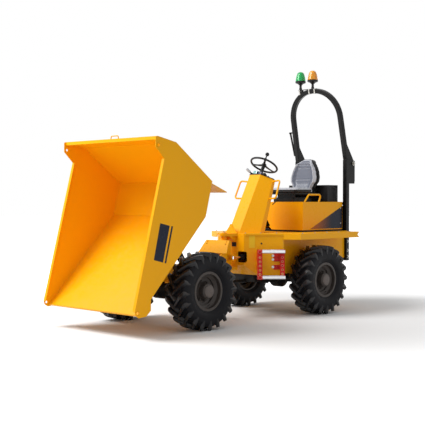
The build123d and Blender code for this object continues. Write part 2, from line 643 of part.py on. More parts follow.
def seat_back():
    """Simple closed backrest, leaning back, with round shoulders."""
    foot = PAN_Z + SEAT_GAP
    side = [(SEAT_BACK_X - 8, foot), (SEAT_BACK_X - 75, BACK_TOP_Z - 40), (SEAT_BACK_X - 110, BACK_TOP_Z),
            (SEAT_BACK_X - 165, BACK_TOP_Z - 20), (SEAT_BACK_X - 120, foot)]
    slab = side_plate(side, -SEAT_BACK_HALF, SEAT_BACK_HALF)
    height = BACK_TOP_Z - foot
    outline = Pos(0, foot + height / 2, 0) * RectangleRounded(2 * SEAT_BACK_HALF, height, 150)
    outline += Pos(0, foot + height / 4, 0) * Rectangle(2 * SEAT_BACK_HALF - 60, height / 2)
    front = Plane((SEAT_BACK_X, 0, 0), x_dir=(0, 1, 0), z_dir=(1, 0, 0))
    return slab & extrude(front * outline, amount=200, both=True)


def rear_box():
    """Black ribbed air box on the cover behind the seat."""
    rear, front = COVER_REAR_X + 10, COVER_REAR_X + 230
    body = box(rear, front, -330, 318, COVER_TOP, AIR_BOX_TOP)
    for rib in range(6):
        x = front - 10 - 36 * rib
        body -= box(x - 10, x - 2, -340, 330, AIR_BOX_TOP - 10, AIR_BOX_TOP + 10)
    return body


# ---------------------------------------------------------------- roll bar
def roll_bar_posts():
    """Two box posts bolted to the chassis sides, with the hinge plates behind their tops."""
    posts = None
    half = POST_W / 2
    for side in (1, -1):
        y = side * POST_Y
        post = box(POST_X - half, POST_X + half, y - half, y + half, POST_BOTTOM, HOOP_START_Z - RUN_GAP)
        post -= box(POST_X - half + POST_WALL, POST_X + half - POST_WALL, y - half + POST_WALL,
                    y + half - POST_WALL, POST_BOTTOM - 1, HOOP_START_Z)
        px, pz = HINGE_PIN
        top = HOOP_START_Z - RUN_GAP
        low = PLATE_LOW_Z
        profile = [(POST_X - half, low), (POST_X - half, top), (px + 18, top), (px - 40, pz + 34),
                   (px - 40, low + 40), (px - 32, low)]
        for edge in (-half, half - PLATE):
            post += side_plate(profile, y + edge, y + edge + PLATE)
        post += box(POST_X - half - 90, POST_X - half + 1, y - half + 1, y + half - 1, low, low + PLATE)
        post += pin_y(px, pz, HOOP_PIN_R, y - half - 6, y + half + 6)
        posts = post if posts is None else posts + post
    return posts


def hoop_point(along_hoop, y):
    """Point in the hoop's leaning plane, by height along it from the posts' tops."""
    lean = radians(HOOP_LEAN)
    return Vector(POST_X + along_hoop * sin(lean), y, HOOP_START_Z + along_hoop * cos(lean))


def hoop_tube():
    """Square tube swept up one leg, round a full arch and down the other leg."""
    y, crown = POST_Y, HOOP_LENGTH - POST_W / 2
    top_y = y - HOOP_DRAW_IN
    corners = [hoop_point(HOOP_FOOT, -y), hoop_point(crown, -top_y), hoop_point(crown, top_y),
               hoop_point(HOOP_FOOT, y)]
    path = FilletPolyline(*corners, radius=0.97 * top_y)
    start = Plane(origin=path @ 0, x_dir=(0, 1, 0), z_dir=path % 0)
    return sweep(start * RectangleRounded(POST_W, POST_W, 7), path=path)


def roll_bar_hoop():
    """Hoop of square tube, with hinge ears that fold it down to the rear and a pull handle."""
    half = POST_W / 2
    hoop = hoop_tube()
    px, pz = HINGE_PIN
    back_x = POST_X - half
    profile = [(back_x + 4, HOOP_START_Z + HOOP_FOOT + 2), (back_x + 52, HOOP_START_Z + 225),
               (px - 32, pz + 38), (px - 28, pz + 4), (px - 10, pz - 26), (px + 18, pz - 22)]
    for side in (1, -1):
        for edge in (-half + PLATE + 2, half - 2 * PLATE - 2):
            y = side * POST_Y + edge
            hoop += side_plate(profile, y, y + PLATE)
            hoop += pin_y(px, pz, 2 * HOOP_PIN_R, y, y + PLATE)
    y = -POST_Y - half
    handle = [hoop_point(60, y + 6), hoop_point(85, y - 20), hoop_point(395, y - 46), hoop_point(400, y + 6)]
    hoop += bent_bar(handle, 12, 9)
    rail = hoop_point(HOOP_LENGTH - 4, 0)
    bracket = Plane(origin=rail, x_dir=(0, 1, 0), z_dir=hoop_point(1, 0) - hoop_point(0, 0))
    low, high = BEACON_Y
    hoop += bracket * Pos((low + high) / 2, 0, 4) * Box(high - low + 56, 44, 8)
    hoop += bracket * Pos(low + 28, 0, -22) * Box(8, 40, 50)
    return hoop - pin_y(px, pz, HOOP_PIN_R + PIN_FIT, -POST_Y - POST_W, POST_Y + POST_W)


def beacon(y):
    """Stem, base and ribless dome of one warning lamp on the crown's bracket."""
    lean = radians(HOOP_LEAN)
    foot = hoop_point(HOOP_LENGTH + 4, y)
    plane = Plane(origin=foot, x_dir=(0, 1, 0), z_dir=(sin(lean), 0, cos(lean)))
    lamp = plane * Pos(0, 0, 3) * Cylinder(20, 6)
    r = BEACON_R
    profile = [(0, 5), (13, 5), (13, 62), (0.55 * r, 84), (0.96 * r, 92), (r, 98), (r, 114), (0.93 * r, 118),
               (0.86 * r, 160), (0.72 * r, 206), (0.5 * r, 230), (0.2 * r, 242), (0, 243)]
    body = revolve(Plane.XZ * make_face(Polyline(*profile, close=True)), Axis.Z)
    return lamp + Pos(foot.X, y, foot.Z) * body


# ---------------------------------------------------------------- front frame
def yoke_profile():
    """Side plate of the front frame: yoke at the rear, skip pivot ear at the front."""
    px, pz = TIP_PIVOT
    bx = TIP_RAM_BASE[0]
    pad_z = AXLE_Z + AXLE_TUBE_R + 14
    return [
        (YOKE_REAR_X, 540), (YOKE_REAR_X, YOKE_TOP), *YOKE_SLOPE, (330, 655),
        (AXLE_X - 50, 655), (px - TIP_BOSS_R - 20, 780), (px - TIP_BOSS_R, pz), (px - 30, pz + TIP_BOSS_R - 6),
        (px + 30, pz + TIP_BOSS_R - 6), (px + TIP_BOSS_R, pz), (px + 90, 700), (px + 90, 580),
        (AXLE_X + 110, pad_z), (AXLE_X - 125, pad_z), (bx + 150, 430), (bx - 150, 430),
        (240, 600), (140, 645), (70, 540),
    ]


def front_chassis():
    """Two profiled side plates with cross members, pivot tube, axle pads and skip pivot ears."""
    frame = None
    inner = YOKE_HALF - YOKE_T
    px, pz = TIP_PIVOT
    for side in (1, -1):
        plate = side_plate(yoke_profile(), side * inner, side * YOKE_HALF)
        frame = plate if frame is None else frame + plate
    tube_low = LOWER_LUG_Z + LUG_T + RUN_GAP
    tube_high = UPPER_LUG_Z - RUN_GAP
    for z0, z1 in ((tube_low, tube_low + 25), (YOKE_TOP - 25, YOKE_TOP - 2)):
        web = flat_plate([(0, -PIVOT_TUBE_R), (0, PIVOT_TUBE_R), (YOKE_REAR_X + 5, inner),
                          (YOKE_REAR_X + 55, inner), (YOKE_REAR_X + 55, -inner), (YOKE_REAR_X + 5, -inner)],
                         z0, z1)
        frame += web
    frame += box(YOKE_REAR_X + 40, YOKE_REAR_X + 55, -inner, inner, tube_low, YOKE_TOP - 2)
    frame += pin_z(0, 0, PIVOT_TUBE_R, tube_low, YOKE_TOP + 4)
    frame += pin_z(0, 0, PIVOT_TUBE_R - 12, YOKE_TOP, tube_high)
    frame -= pin_z(0, 0, PIN_R + PIN_FIT, tube_low - 1, tube_high + 1)
    frame += box(290, 350, -inner, inner, 560, 640)
    frame += box(px + 68, px + 80, -inner, inner, 560, 760)
    pad_z = AXLE_Z + AXLE_TUBE_R
    for side in (1, -1):
        frame += box(AXLE_X - PAD_HALF, AXLE_X + PAD_HALF, side * (inner - 2), side * (YOKE_HALF + 30),
                     pad_z, pad_z + 14)
    frame -= pin_y(px, pz, TIP_PIN_R + TIP_PIN_FIT, -YOKE_HALF - 5, YOKE_HALF + 5)
    bx, bz = TIP_RAM_BASE
    frame -= pin_y(bx, bz, BASE_PIN_R + PIN_FIT, -YOKE_HALF - 5, YOKE_HALF + 5)
    return frame


def steer_clevis():
    """Fork on the yoke's left side for the steering cylinder's rod eye."""
    x, y = STEER_FRONT
    fork = None
    for z0, z1 in ((STEER_RAM_Z - 34, STEER_RAM_Z - 22), (STEER_RAM_Z + 22, STEER_RAM_Z + 34)):
        outline = [(x - 18, YOKE_HALF), (x + 45, YOKE_HALF), (x + 34, y + 26), (x - 18, y + 26)]
        ear = flat_plate(outline, z0, z1) + pin_z(x, y, 20, z0, z1)
        fork = ear if fork is None else fork + ear
    return fork


def yoke_guard():
    """Bent plate over the front of the yoke, wider towards its lower edge."""
    guard = None
    reach = YOKE_GUARD_T * 3
    for a, b, wide_a, wide_b in zip(YOKE_SLOPE, YOKE_SLOPE[1:], GUARD_HALVES, GUARD_HALVES[1:]):
        corners = [Vector(a[0], -wide_a, a[1]), Vector(a[0], wide_a, a[1]),
                   Vector(b[0], wide_b, b[1]), Vector(b[0], -wide_b, b[1])]
        face = Face(Wire.make_polygon(corners, close=True))
        strip = extrude(face, amount=reach, dir=(0.82, 0, 0.57))
        guard = strip if guard is None else guard + strip
    low = [shifted(a, b, SEAT_GAP) for a, b in zip(YOKE_SLOPE, YOKE_SLOPE[1:])]
    high = [shifted(a, b, SEAT_GAP + YOKE_GUARD_T) for a, b in zip(YOKE_SLOPE, YOKE_SLOPE[1:])]
    band = [low[0][0], crossing(*low[0], *low[1]), low[1][1], high[1][1], crossing(*high[0], *high[1]), high[0][0]]
    return guard & side_plate(band, -GUARD_HALVES[-1] - 10, GUARD_HALVES[-1] + 10)


def ram_base_pin():
    """Cross pin that carries the tip cylinder's base eye."""
    bx, bz = TIP_RAM_BASE
    pin = pin_y(bx, bz, BASE_PIN_R, -YOKE_HALF - 12, YOKE_HALF + 12)
    for side in (1, -1):
        pin += pin_y(bx, bz, BASE_PIN_R + 12, side * YOKE_HALF, side * (YOKE_HALF + 12))
    return pin


# ---------------------------------------------------------------- skip
def skip_outline():
    """Side plate outline, with the headboard ear and the lip ear."""
    ear_x = HEAD_TOP[0] + 25
    lip_x, lip_z = LIP
    return [
        APEX, WALL_TOP, HEAD_TOP, (ear_x, HEAD_TOP[1] - 8), (ear_x, UPPER_EYE[1] - 22), RIM_TOP, RIM_BOTTOM,
        (lip_x + 56, lip_z + 6), (lip_x + 14, lip_z - 22), (lip_x - 85, lip_z - 12),
        (lip_x - 148, lip_z + 42), (lip_x - 148, lip_z + 154), HEEL,
    ]


def skip_side(side):
    """One side plate with its folded edge and two lifting eyes."""
    y0, y1 = side * (SKIP_HALF - SKIP_T), side * SKIP_HALF
    plate = side_plate(skip_outline(), y0, y1)
    edge = shifted(RIM_TOP, RIM_BOTTOM, -8.0)
    flange = side_plate([RIM_TOP, RIM_BOTTOM, edge[1], edge[0]], side * (SKIP_HALF - RIM_FLANGE), y1)
    plate += flange
    for x, z in (UPPER_EYE, LOWER_EYE):
        plate -= pin_y(x, z, EYE_R, side * (SKIP_HALF - 60), side * (SKIP_HALF + 5))
    return plate


def skip_skin():
    """Outer and inner corner points of the skip's shell, from lip to headboard top."""
    outer = [LIP, HEEL, APEX, WALL_TOP, HEAD_TOP]
    lines = [shifted(a, b, -SKIP_T) for a, b in zip(outer, outer[1:])]
    corners = [crossing(*a, *b) for a, b in zip(lines, lines[1:])]
    return outer, [lines[0][0], *corners, lines[-1][1]]


def skip_panels(first, last):
    """Panels of the shell between two corner numbers, mitred where they meet the next."""
    outer, inner = skip_skin()
    outline = outer[first:last + 1] + list(reversed(inner[first:last + 1]))
    return side_plate(outline, -SKIP_HALF + SKIP_T, SKIP_HALF - SKIP_T)


def skip_headboard():
    """Rear wall with its bent top, box flange and a small rope loop."""
    half = SKIP_HALF - SKIP_T
    wall = skip_panels(2, 4)
    flange_root = along(HEAD_TOP, WALL_TOP, 26)
    down = (HEAD_TOP[0] + 5, HEAD_TOP[1] - 36)
    down_root = (flange_root[0] + 5, flange_root[1] - 36)
    wall += side_plate([flange_root, HEAD_TOP, down, down_root], -half, half)
    x, z = HEAD_TOP[0] - 12, HEAD_TOP[1] - 4
    loop = bent_bar([(x, 10, z), (x, 20, z + 34), (x, 128, z + 34), (x, 138, z)], 12, 6)
    return wall + loop


def skip_bottom():
    """Short bottom panel between the rear wall and the long floor."""
    return skip_panels(1, 2)


def skip_floor():
    """Long floor out to the lip, with a thick wearing bar under the lip."""
    half = SKIP_HALF - SKIP_T
    bar_end = along(LIP, HEEL, LIP_BAR[0])
    bar = shifted(bar_end, LIP, -LIP_BAR[1])
    return skip_panels(0, 1) + side_plate([bar_end, LIP, bar[1], bar[0]], -half, half)


def pivot_bracket_profile():
    """Bracket from the skip's underside down to the tip pivot."""
    px, pz = TIP_PIVOT
    floor_point = along(HEEL, LIP, 430)
    bottom_point = along(HEEL, APEX, 230)
    return [
        bottom_point, HEEL, floor_point, (px + TIP_BOSS_R + 18, pz + 10), (px + TIP_BOSS_R - 8, pz - 40),
        (px, pz - TIP_BOSS_R - 6), (px - TIP_BOSS_R + 8, pz - 40), (px - TIP_BOSS_R - 8, pz + 30),
    ]


def skip_underframe():
    """Pivot brackets, cylinder bracket and floor ribs on the skip's underside."""
    frame = None
    px, pz = TIP_PIVOT
    gap = YOKE_HALF + RUN_GAP
    for side in (1, -1):
        bracket = side_plate(pivot_bracket_profile(), side * gap, side * (gap + 16))
        bracket += pin_y(px, pz, TIP_BOSS_R, side * gap, side * (gap + 30))
        frame = bracket if frame is None else frame + bracket
    frame += pin_y(px, pz, TIP_PIN_R, -gap - 30, gap + 30)
    ex, ez = TIP_RAM_EYE
    for side in (1, -1):
        ear = [along(HEEL, APEX, 190), HEEL, along(HEEL, LIP, 110), (ex + 52, ez - 24), (ex + 24, ez - 44),
               (ex - 24, ez - 34), (ex - 40, ez + 12)]
        frame += side_plate(ear, side * 32, side * 46)
        frame += pin_y(ex, ez, 30, side * 46, side * 56)
    tie_low = along(HEEL, APEX, 150)
    tie_high = along(HEEL, APEX, 210)
    outer = shifted(tie_low, tie_high, 60.0)
    frame += side_plate([tie_low, tie_high, outer[1], outer[0]], -gap - 16, gap + 16)
    for y in (-520, -gap - 8, gap + 8, 520):
        start, end = along(HEEL, LIP, 440), along(LIP, HEEL, 90)
        low = shifted(start, end, -46.0)
        frame += side_plate([start, end, along(low[1], low[0], 60), along(low[0], low[1], 40)], y - 6, y + 6)
    return frame


def heel_guard():
    """Plate behind the apex that hangs down behind the front wheels when the skip is level."""
    root = along(APEX, HEEL, 20)
    inside = along(root, GUARD_TIP, -20)
    edge = shifted(inside, GUARD_TIP, GUARD_T)
    half = SKIP_HALF - SKIP_T
    plate = side_plate([inside, GUARD_TIP, edge[1], edge[0]], -half, half)
    return plate - side_plate(skip_outline(), -SKIP_HALF, SKIP_HALF)


# ---------------------------------------------------------------- cylinders
def cylinder_barrel(length, barrel_r, bore_r, rod_r, eye_r, eye_w, pin_r):
    """Barrel along +X from its base eye at the origin, with a gland end."""
    start = eye_r * 0.6
    barrel = Pos((start + length) / 2, 0, 0) * Rot(0, 90, 0) * Cylinder(barrel_r, length - start)
    barrel += Pos(length - 18, 0, 0) * Rot(0, 90, 0) * Cylinder(barrel_r + 5, 36)
    bore_start = eye_r + 12
    bore_end = length - 30
    barrel -= Pos((bore_start + bore_end) / 2, 0, 0) * Rot(0, 90, 0) * Cylinder(bore_r, bore_end - bore_start)
    barrel -= Pos(length - 15, 0, 0) * Rot(0, 90, 0) * Cylinder(rod_r + SPINDLE_FIT, 34)
    barrel += Rot(90, 0, 0) * Cylinder(eye_r, eye_w)
    barrel -= Rot(90, 0, 0) * Cylinder(pin_r, eye_w + 2)
    return barrel


def cylinder_rod(span, inner_end, bore_r, rod_r, eye_r, eye_w):
    """Rod along +X that ends in its eye at span; the piston is at the inner end."""
    rod = Pos((inner_end + span) / 2, 0, 0) * Rot(0, 90, 0) * Cylinder(rod_r, span - inner_end)
    rod += Pos(inner_end + 14, 0, 0) * Rot(0, 90, 0) * Cylinder(bore_r - SPINDLE_FIT, 28)
    rod += Pos(span, 0, 0) * Rot(90, 0, 0) * Cylinder(eye_r, eye_w)
    return rod


def place_tip_ram(part):
    """Turn a cylinder part drawn along X onto the tip cylinder's line."""
    dx, dz = TIP_RAM_EYE[0] - TIP_RAM_BASE[0], TIP_RAM_EYE[1] - TIP_RAM_BASE[1]
    return Pos(TIP_RAM_BASE[0], 0, TIP_RAM_BASE[1]) * Rot(0, -degrees(atan2(dz, dx)), 0) * part


def place_steer_ram(part):
    """Turn a cylinder part drawn along X onto the steering cylinder's line."""
    dx, dy = STEER_FRONT[0] - STEER_REAR[0], STEER_FRONT[1] - STEER_REAR[1]
    return Pos(*STEER_REAR, STEER_RAM_Z) * Rot(0, 0, degrees(atan2(dy, dx))) * Rot(90, 0, 0) * part


# ---------------------------------------------------------------- steps, engine, tail
def step_plane():
    """Frame of the left facet: local X points out from it, local Y along it to the rear."""
    run = STEP_ALONG * cos(radians(45))
    return Pos(NOSE_X - run, NOSE_HALF + run, 0) * Rot(0, 0, 45)


def rail_face_x(z):
    """Outer face of the rear upright, from the facet; the uprights lean outwards as they go down."""
    return 72 + 46 * (STEP_TOP_Z + 10 - z) / (STEP_TOP_Z + 4 - STEP_LOW_Z)


def step_frame():
    """Two punched uprights on brackets; the front one covers the ends of the treads."""
    frame = None
    low, high = STEP_LOW_Z + 2, STEP_TOP_Z + 26
    top_x, low_x = rail_face_x(high), rail_face_x(low)
    for side, ahead in ((-1, 82), (1, 0)):
        outer, inner = side * STEP_HALF, side * (STEP_HALF - STEP_RAIL_W)
        face = [(top_x + ahead - 6, high), (top_x + ahead, high), (low_x + ahead, low), (low_x + ahead - 6, low)]
        rail = side_plate(face, inner, outer)
        flange = [(top_x - 32, high), (top_x + ahead, high), (low_x + ahead, low), (low_x - 32, low)]
        rail += side_plate(flange, outer, outer - side * 6)
        for hole in range(STEP_HOLES):
            hole_z = low + 62 + hole * 49
            rail -= Pos(0, (inner + outer) / 2, hole_z) * Rot(0, 90, 0) * Cylinder(10, 600)
        for z0, z1 in ((STEP_TOP_Z - 125, STEP_TOP_Z - 20), (STEP_TOP_Z - 222, STEP_TOP_Z - 166)):
            rail += box(0, 80, outer, outer - side * 6, z0, z1)
            reach = STEP_RAIL_W + 70 if side > 0 else 30
            rail += box(0, 6, outer - side * 6, outer - side * reach, z0, z1)
        frame = rail if frame is None else frame + rail
    return step_plane() * frame


def step_treads():
    """Round-edged channel treads, held by the front upright's side and the rear upright's face."""
    treads = None
    front, rear = -STEP_HALF + 6 + SEAT_GAP, STEP_HALF
    for z in (STEP_TOP_Z - 20, STEP_LOW_Z + 6):
        centre = Pos(rail_face_x(z + 12) + SEAT_GAP + 36, rear, z + 20) * Rot(90, 0, 0)
        section = centre * (RectangleRounded(72, 40, 12) - RectangleRounded(64, 32, 8))
        tread = extrude(section, amount=rear - front)
        treads = tread if treads is None else treads + tread
    return step_plane() * treads


def engine_block():
    """Engine as one plain block at its place behind the rear axle."""
    rear, front = -AXLE_X - 750, -AXLE_X - 260
    return box(rear, front, -230, 230, CHASSIS_BOTTOM + 140, DECK_Z + 180)


def tail_plate():
    """Radiator grille plate with vertical slots, between the posts."""
    half = POST_Y - POST_W / 2 - SEAT_GAP
    plate = box(REAR_X - 60, REAR_X - SEAT_GAP, -half, half, GRILLE_LOW, GRILLE_HIGH)
    plate -= box(REAR_X - 52, REAR_X + 1, -half + 8, half - 8, GRILLE_LOW + 8, GRILLE_HIGH - 8)
    for slot in range(-5, 6):
        y = slot * 54
        plate -= box(REAR_X - 70, REAR_X - 40, y - 14, y + 14, GRILLE_LOW + 70, GRILLE_HIGH - 70)
    return plate


def tow_hitch():
    """Rear tow bracket: two jaws with a vertical pin bore."""
    hitch = box(REAR_X - 18, REAR_X, -120, 120, HITCH_Z[0] - 20, GRILLE_LOW - 2)
    eye_x = -OVERALL_HALF + HITCH_R
    for z in HITCH_Z:
        hitch += flat_plate([(REAR_X, -90), (REAR_X, 90), (eye_x, HITCH_R), (eye_x, -HITCH_R)], z, z + 20)
        hitch += pin_z(eye_x, 0, HITCH_R, z, z + 20)
    return hitch - pin_z(eye_x, 0, HITCH_PIN_R, HITCH_Z[0] - 50, HITCH_Z[1] + 50)


def transmission_guard():
    """Transmission in its belly guard below the chassis, ahead of the rear axle."""
    front, rear = GUARD_FRONT_X, GUARD_REAR_X
    profile = [(front, CHASSIS_BOTTOM), (front - 50, 400), (rear + 60, 372), (rear, CHASSIS_BOTTOM)]
    return side_plate(profile, -170, 170)


# ---------------------------------------------------------------- write the nodes
os.makedirs("parts", exist_ok=True)
nodes = {
    "rear_chassis": rear_chassis() + steer_ram_anchor() + pivot_lugs() + console_tongue(),
    "deck_plate": deck_plate(),
    "console_tower": console_tower(),
    "steering_column": build_column(),
    "dash_panel": dash_panel(),
    "console_handrails": handrails(),
    "step_left": step_frame(),
    "step_treads": step_treads(),
    "cover_seal": cover_seal(),
    "engine_block": engine_block(),
    "transmission_guard": transmission_guard() + rear_propshafts(),
    "tail_grille": tail_plate(),
    "tow_hitch": tow_hitch(),
    "roll_bar_posts": roll_bar_posts() + cover_hinge_bar(),
    "rear_axle": axle(-AXLE_X),
    "front_chassis": front_chassis() + steer_clevis() + ram_base_pin(),
    "yoke_guard": yoke_guard(),
    "front_axle": axle(AXLE_X) + front_propshaft(),
    "skip_side_left": skip_side(1),
    "skip_side_right": skip_side(-1),
    "skip_headboard": skip_headboard(),
    "skip_bottom": skip_bottom(),
    "skip_floor": skip_floor(),
    "skip_underframe": skip_underframe(),
    "skip_heel_guard": heel_guard(),
    "roll_bar_hoop": roll_bar_hoop(),
    "beacon_green": beacon(BEACON_Y[0]),
    "beacon_amber": beacon(BEACON_Y[1]),
    "engine_cover": engine_cover() + cover_handle(),
    "seat_base": seat_base(),
    "seat_cushion": seat_cushion(),
    "seat_back": seat_back(),
    "rear_air_box": rear_box(),
    "steering_wheel": steering_wheel(),
}

for label, x, y in (("front_left", AXLE_X, TRACK_HALF), ("front_right", AXLE_X, -TRACK_HALF),
                    ("rear_left", -AXLE_X, TRACK_HALF), ("rear_right", -AXLE_X, -TRACK_HALF)):
    nodes["tyre_" + label] = tyre(x, y)
    nodes["rim_" + label] = rim(x, y)

tip_span = hypot(TIP_RAM_EYE[0] - TIP_RAM_BASE[0], TIP_RAM_EYE[1] - TIP_RAM_BASE[1])
steer_span = hypot(STEER_FRONT[0] - STEER_REAR[0], STEER_FRONT[1] - STEER_REAR[1])
tip_sizes = (TIP_BARREL_L, TIP_BARREL_R, TIP_BORE_R, TIP_ROD_R, 42, 56, BASE_PIN_R + PIN_FIT)
steer_sizes = (STEER_BARREL_L, STEER_BARREL_R, STEER_BORE_R, STEER_ROD_R, 27, 50, STEER_PIN_R + PIN_FIT)
nodes["tip_ram_barrel"] = place_tip_ram(cylinder_barrel(*tip_sizes))
nodes["tip_ram_rod"] = place_tip_ram(cylinder_rod(tip_span, TIP_BARREL_L - 62, TIP_BORE_R, TIP_ROD_R, 36, 52))
nodes["steer_ram_barrel"] = place_steer_ram(cylinder_barrel(*steer_sizes))
nodes["steer_ram_rod"] = place_steer_ram(cylinder_rod(steer_span, 150, STEER_BORE_R, STEER_ROD_R, 18, 34))

for name, solid in nodes.items():
    lift = 0 if name.startswith(("tyre_", "rim_")) else TYRE_R - AXLE_Z
    export_step(Pos(0, 0, lift) * solid, f"parts/{name}.step")
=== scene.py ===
"""Finish, lugged tyres, seat and fittings of a centre-articulated site dumper.

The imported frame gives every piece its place. Metres: +X forward, +Y the machine's left, +Z up.
"""
import json
import math

import bmesh
import bpy
import numpy as np
from mathutils import Matrix, Vector
from mathutils.bvhtree import BVHTree


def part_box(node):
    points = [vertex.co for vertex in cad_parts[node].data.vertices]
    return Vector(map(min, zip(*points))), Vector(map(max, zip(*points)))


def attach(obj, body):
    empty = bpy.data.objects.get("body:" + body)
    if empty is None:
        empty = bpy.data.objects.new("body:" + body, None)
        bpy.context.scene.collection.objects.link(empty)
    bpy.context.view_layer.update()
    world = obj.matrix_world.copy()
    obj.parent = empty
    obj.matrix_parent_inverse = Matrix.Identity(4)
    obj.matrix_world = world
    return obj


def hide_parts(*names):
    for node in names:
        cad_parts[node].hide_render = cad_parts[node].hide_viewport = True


bl_info = {
    "name": "Site dumper finish",
    "version": (1, 0, 0),
    "blender": (4, 5, 0),
    "location": "3D View > Sidebar > Dumper",
    "description": "Paint, tyres, seat, controls, fasteners and studio for a site dumper",
    "category": "Object",
}

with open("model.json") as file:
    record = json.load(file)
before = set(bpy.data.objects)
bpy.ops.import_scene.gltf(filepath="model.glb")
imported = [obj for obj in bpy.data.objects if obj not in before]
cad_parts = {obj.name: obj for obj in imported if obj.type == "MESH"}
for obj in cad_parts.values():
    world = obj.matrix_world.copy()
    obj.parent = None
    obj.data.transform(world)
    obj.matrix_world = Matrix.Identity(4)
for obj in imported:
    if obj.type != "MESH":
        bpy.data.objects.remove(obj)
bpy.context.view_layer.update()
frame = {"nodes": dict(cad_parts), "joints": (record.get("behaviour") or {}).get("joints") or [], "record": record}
JOINTS = {joint["name"]: joint for joint in frame["joints"]}
WHEELS = ("front_left", "front_right", "rear_left", "rear_right")

# in metres: places that the frame's boxes and joints don't give, and sizes
DIAGONAL = 0.7071                      # each part of a unit vector at 45 degrees
FACET_X, FACET_Y = -0.126, 0.213       # front corner of the left facet, which runs back and out at 45 degrees
STEP_PLACE = (-0.3509, 0.4379, 0)      # middle of the step on that facet
STEP_FACE, STEP_RAKE = 0.0698, 0.138   # top of its uprights out from the facet, and their lean outwards per metre down
POST_X = -1.930                        # middle of the roll bar posts and of the hoop's foot
HOOP_FOOT, HOOP_LEAN = 1.940, math.radians(12)         # height of its foot, and its lean forwards
YOKE_FACE = 0.154                      # outside of the front frame's side plates
HOOP_CROWN, HOOP_TUBE = 0.968, 0.030   # the hoop's top above its foot, along its lean, and its tube's radius
HANDLE_LOW, HANDLE_HIGH = (0.075, -0.4525), (0.392, -0.4785)   # ends of its pull handle's grip: along the lean, and y
RIM_INSET, SEAM = 0.045, -0.034        # the seat back's sewn rim from its edge, and its piping from its foremost point
LENS_HEIGHT, LENS_WALL = 0.127, 0.004
FLOOR_REACH = 60.0
NEAR_FLOOR, FAR_FLOOR = 2.2, 7.0       # where the floor starts and ends turning into the background
KEY_AT, KEY_SIZE = Vector((5.0, -3.2, 7.4)), 5.0
CAMERA_AT = (8.187, 7.716, 1.398)
YAW, PITCH, ROLL = -2.3737, 0.013, 0.001               # of the camera, in radians

UPRIGHT = Matrix.Rotation(math.radians(90), 4, "X")    # stands an outline up in the XZ plane, facing -Y


# --- places and outlines
def corners(node):
    """Lowest and highest corner of a node."""
    low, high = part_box(node)
    return Vector(low), Vector(high)


def pivot(joint):
    """A joint's place."""
    return Vector(JOINTS[joint]["pos_m"])


def stand(origin, up, along=None):
    """Matrix at origin with its Z axis along up and its X axis near along."""
    up = Vector(up).normalized()
    if along is None:
        along = (0, 0, 1) if abs(up.z) < 0.9 else (1, 0, 0)
    along = Vector(along)
    x_axis = (along - up * along.dot(up)).normalized()
    turn = Matrix((x_axis, up.cross(x_axis), up)).transposed().to_4x4()
    return Matrix.Translation(origin) @ turn


def arc(centre, radius, start, end, count):
    """Points on an arc, angles in degrees."""
    steps = [math.radians(start + (end - start) * i / count) for i in range(count + 1)]
    return [(centre[0] + radius * math.cos(a), centre[1] + radius * math.sin(a)) for a in steps]


def round_outline(width, height, radius, count=5):
    """Rectangle with round corners, centred."""
    x, y = width / 2 - radius, height / 2 - radius
    points = []
    for centre, start in (((x, y), 0), ((-x, y), 90), ((-x, -y), 180), ((x, -y), 270)):
        points += arc(centre, radius, start, start + 90, count)
    return points


def shrink(outline, depth):
    """Outline moved inwards by depth, for points that run anticlockwise."""
    result = []
    for i, point in enumerate(outline):
        here = Vector(point)
        before = (here - Vector(outline[i - 1])).normalized()
        after = (Vector(outline[(i + 1) % len(outline)]) - here).normalized()
        side = Vector((-before.y - after.y, before.x + after.x))
        if side.length < 1e-6:
            side = Vector((-before.y, before.x)) * 2
        half = max(0.3, side.length / 2)
        result.append(here + side.normalized() * depth / half)
    return result


def mix(a, b, t):
    """Value between a and b."""
    return a + (b - a) * t


def smooth(low, high, value):
    """Smooth step from 0 at low to 1 at high."""
    t = min(1.0, max(0.0, (value - low) / (high - low)))
    return t * t * (3 - 2 * t)


def polar(radius, angle, height):
    """Point at a radius and an angle about the Z axis."""
    return Vector((radius * math.cos(angle), radius * math.sin(angle), height))


def spin(degrees):
    """Turn about the Z axis."""
    return Matrix.Rotation(math.radians(degrees), 4, "Z")


def move(x, y, z):
    """Move along the three axes."""
    return Matrix.Translation((x, y, z))


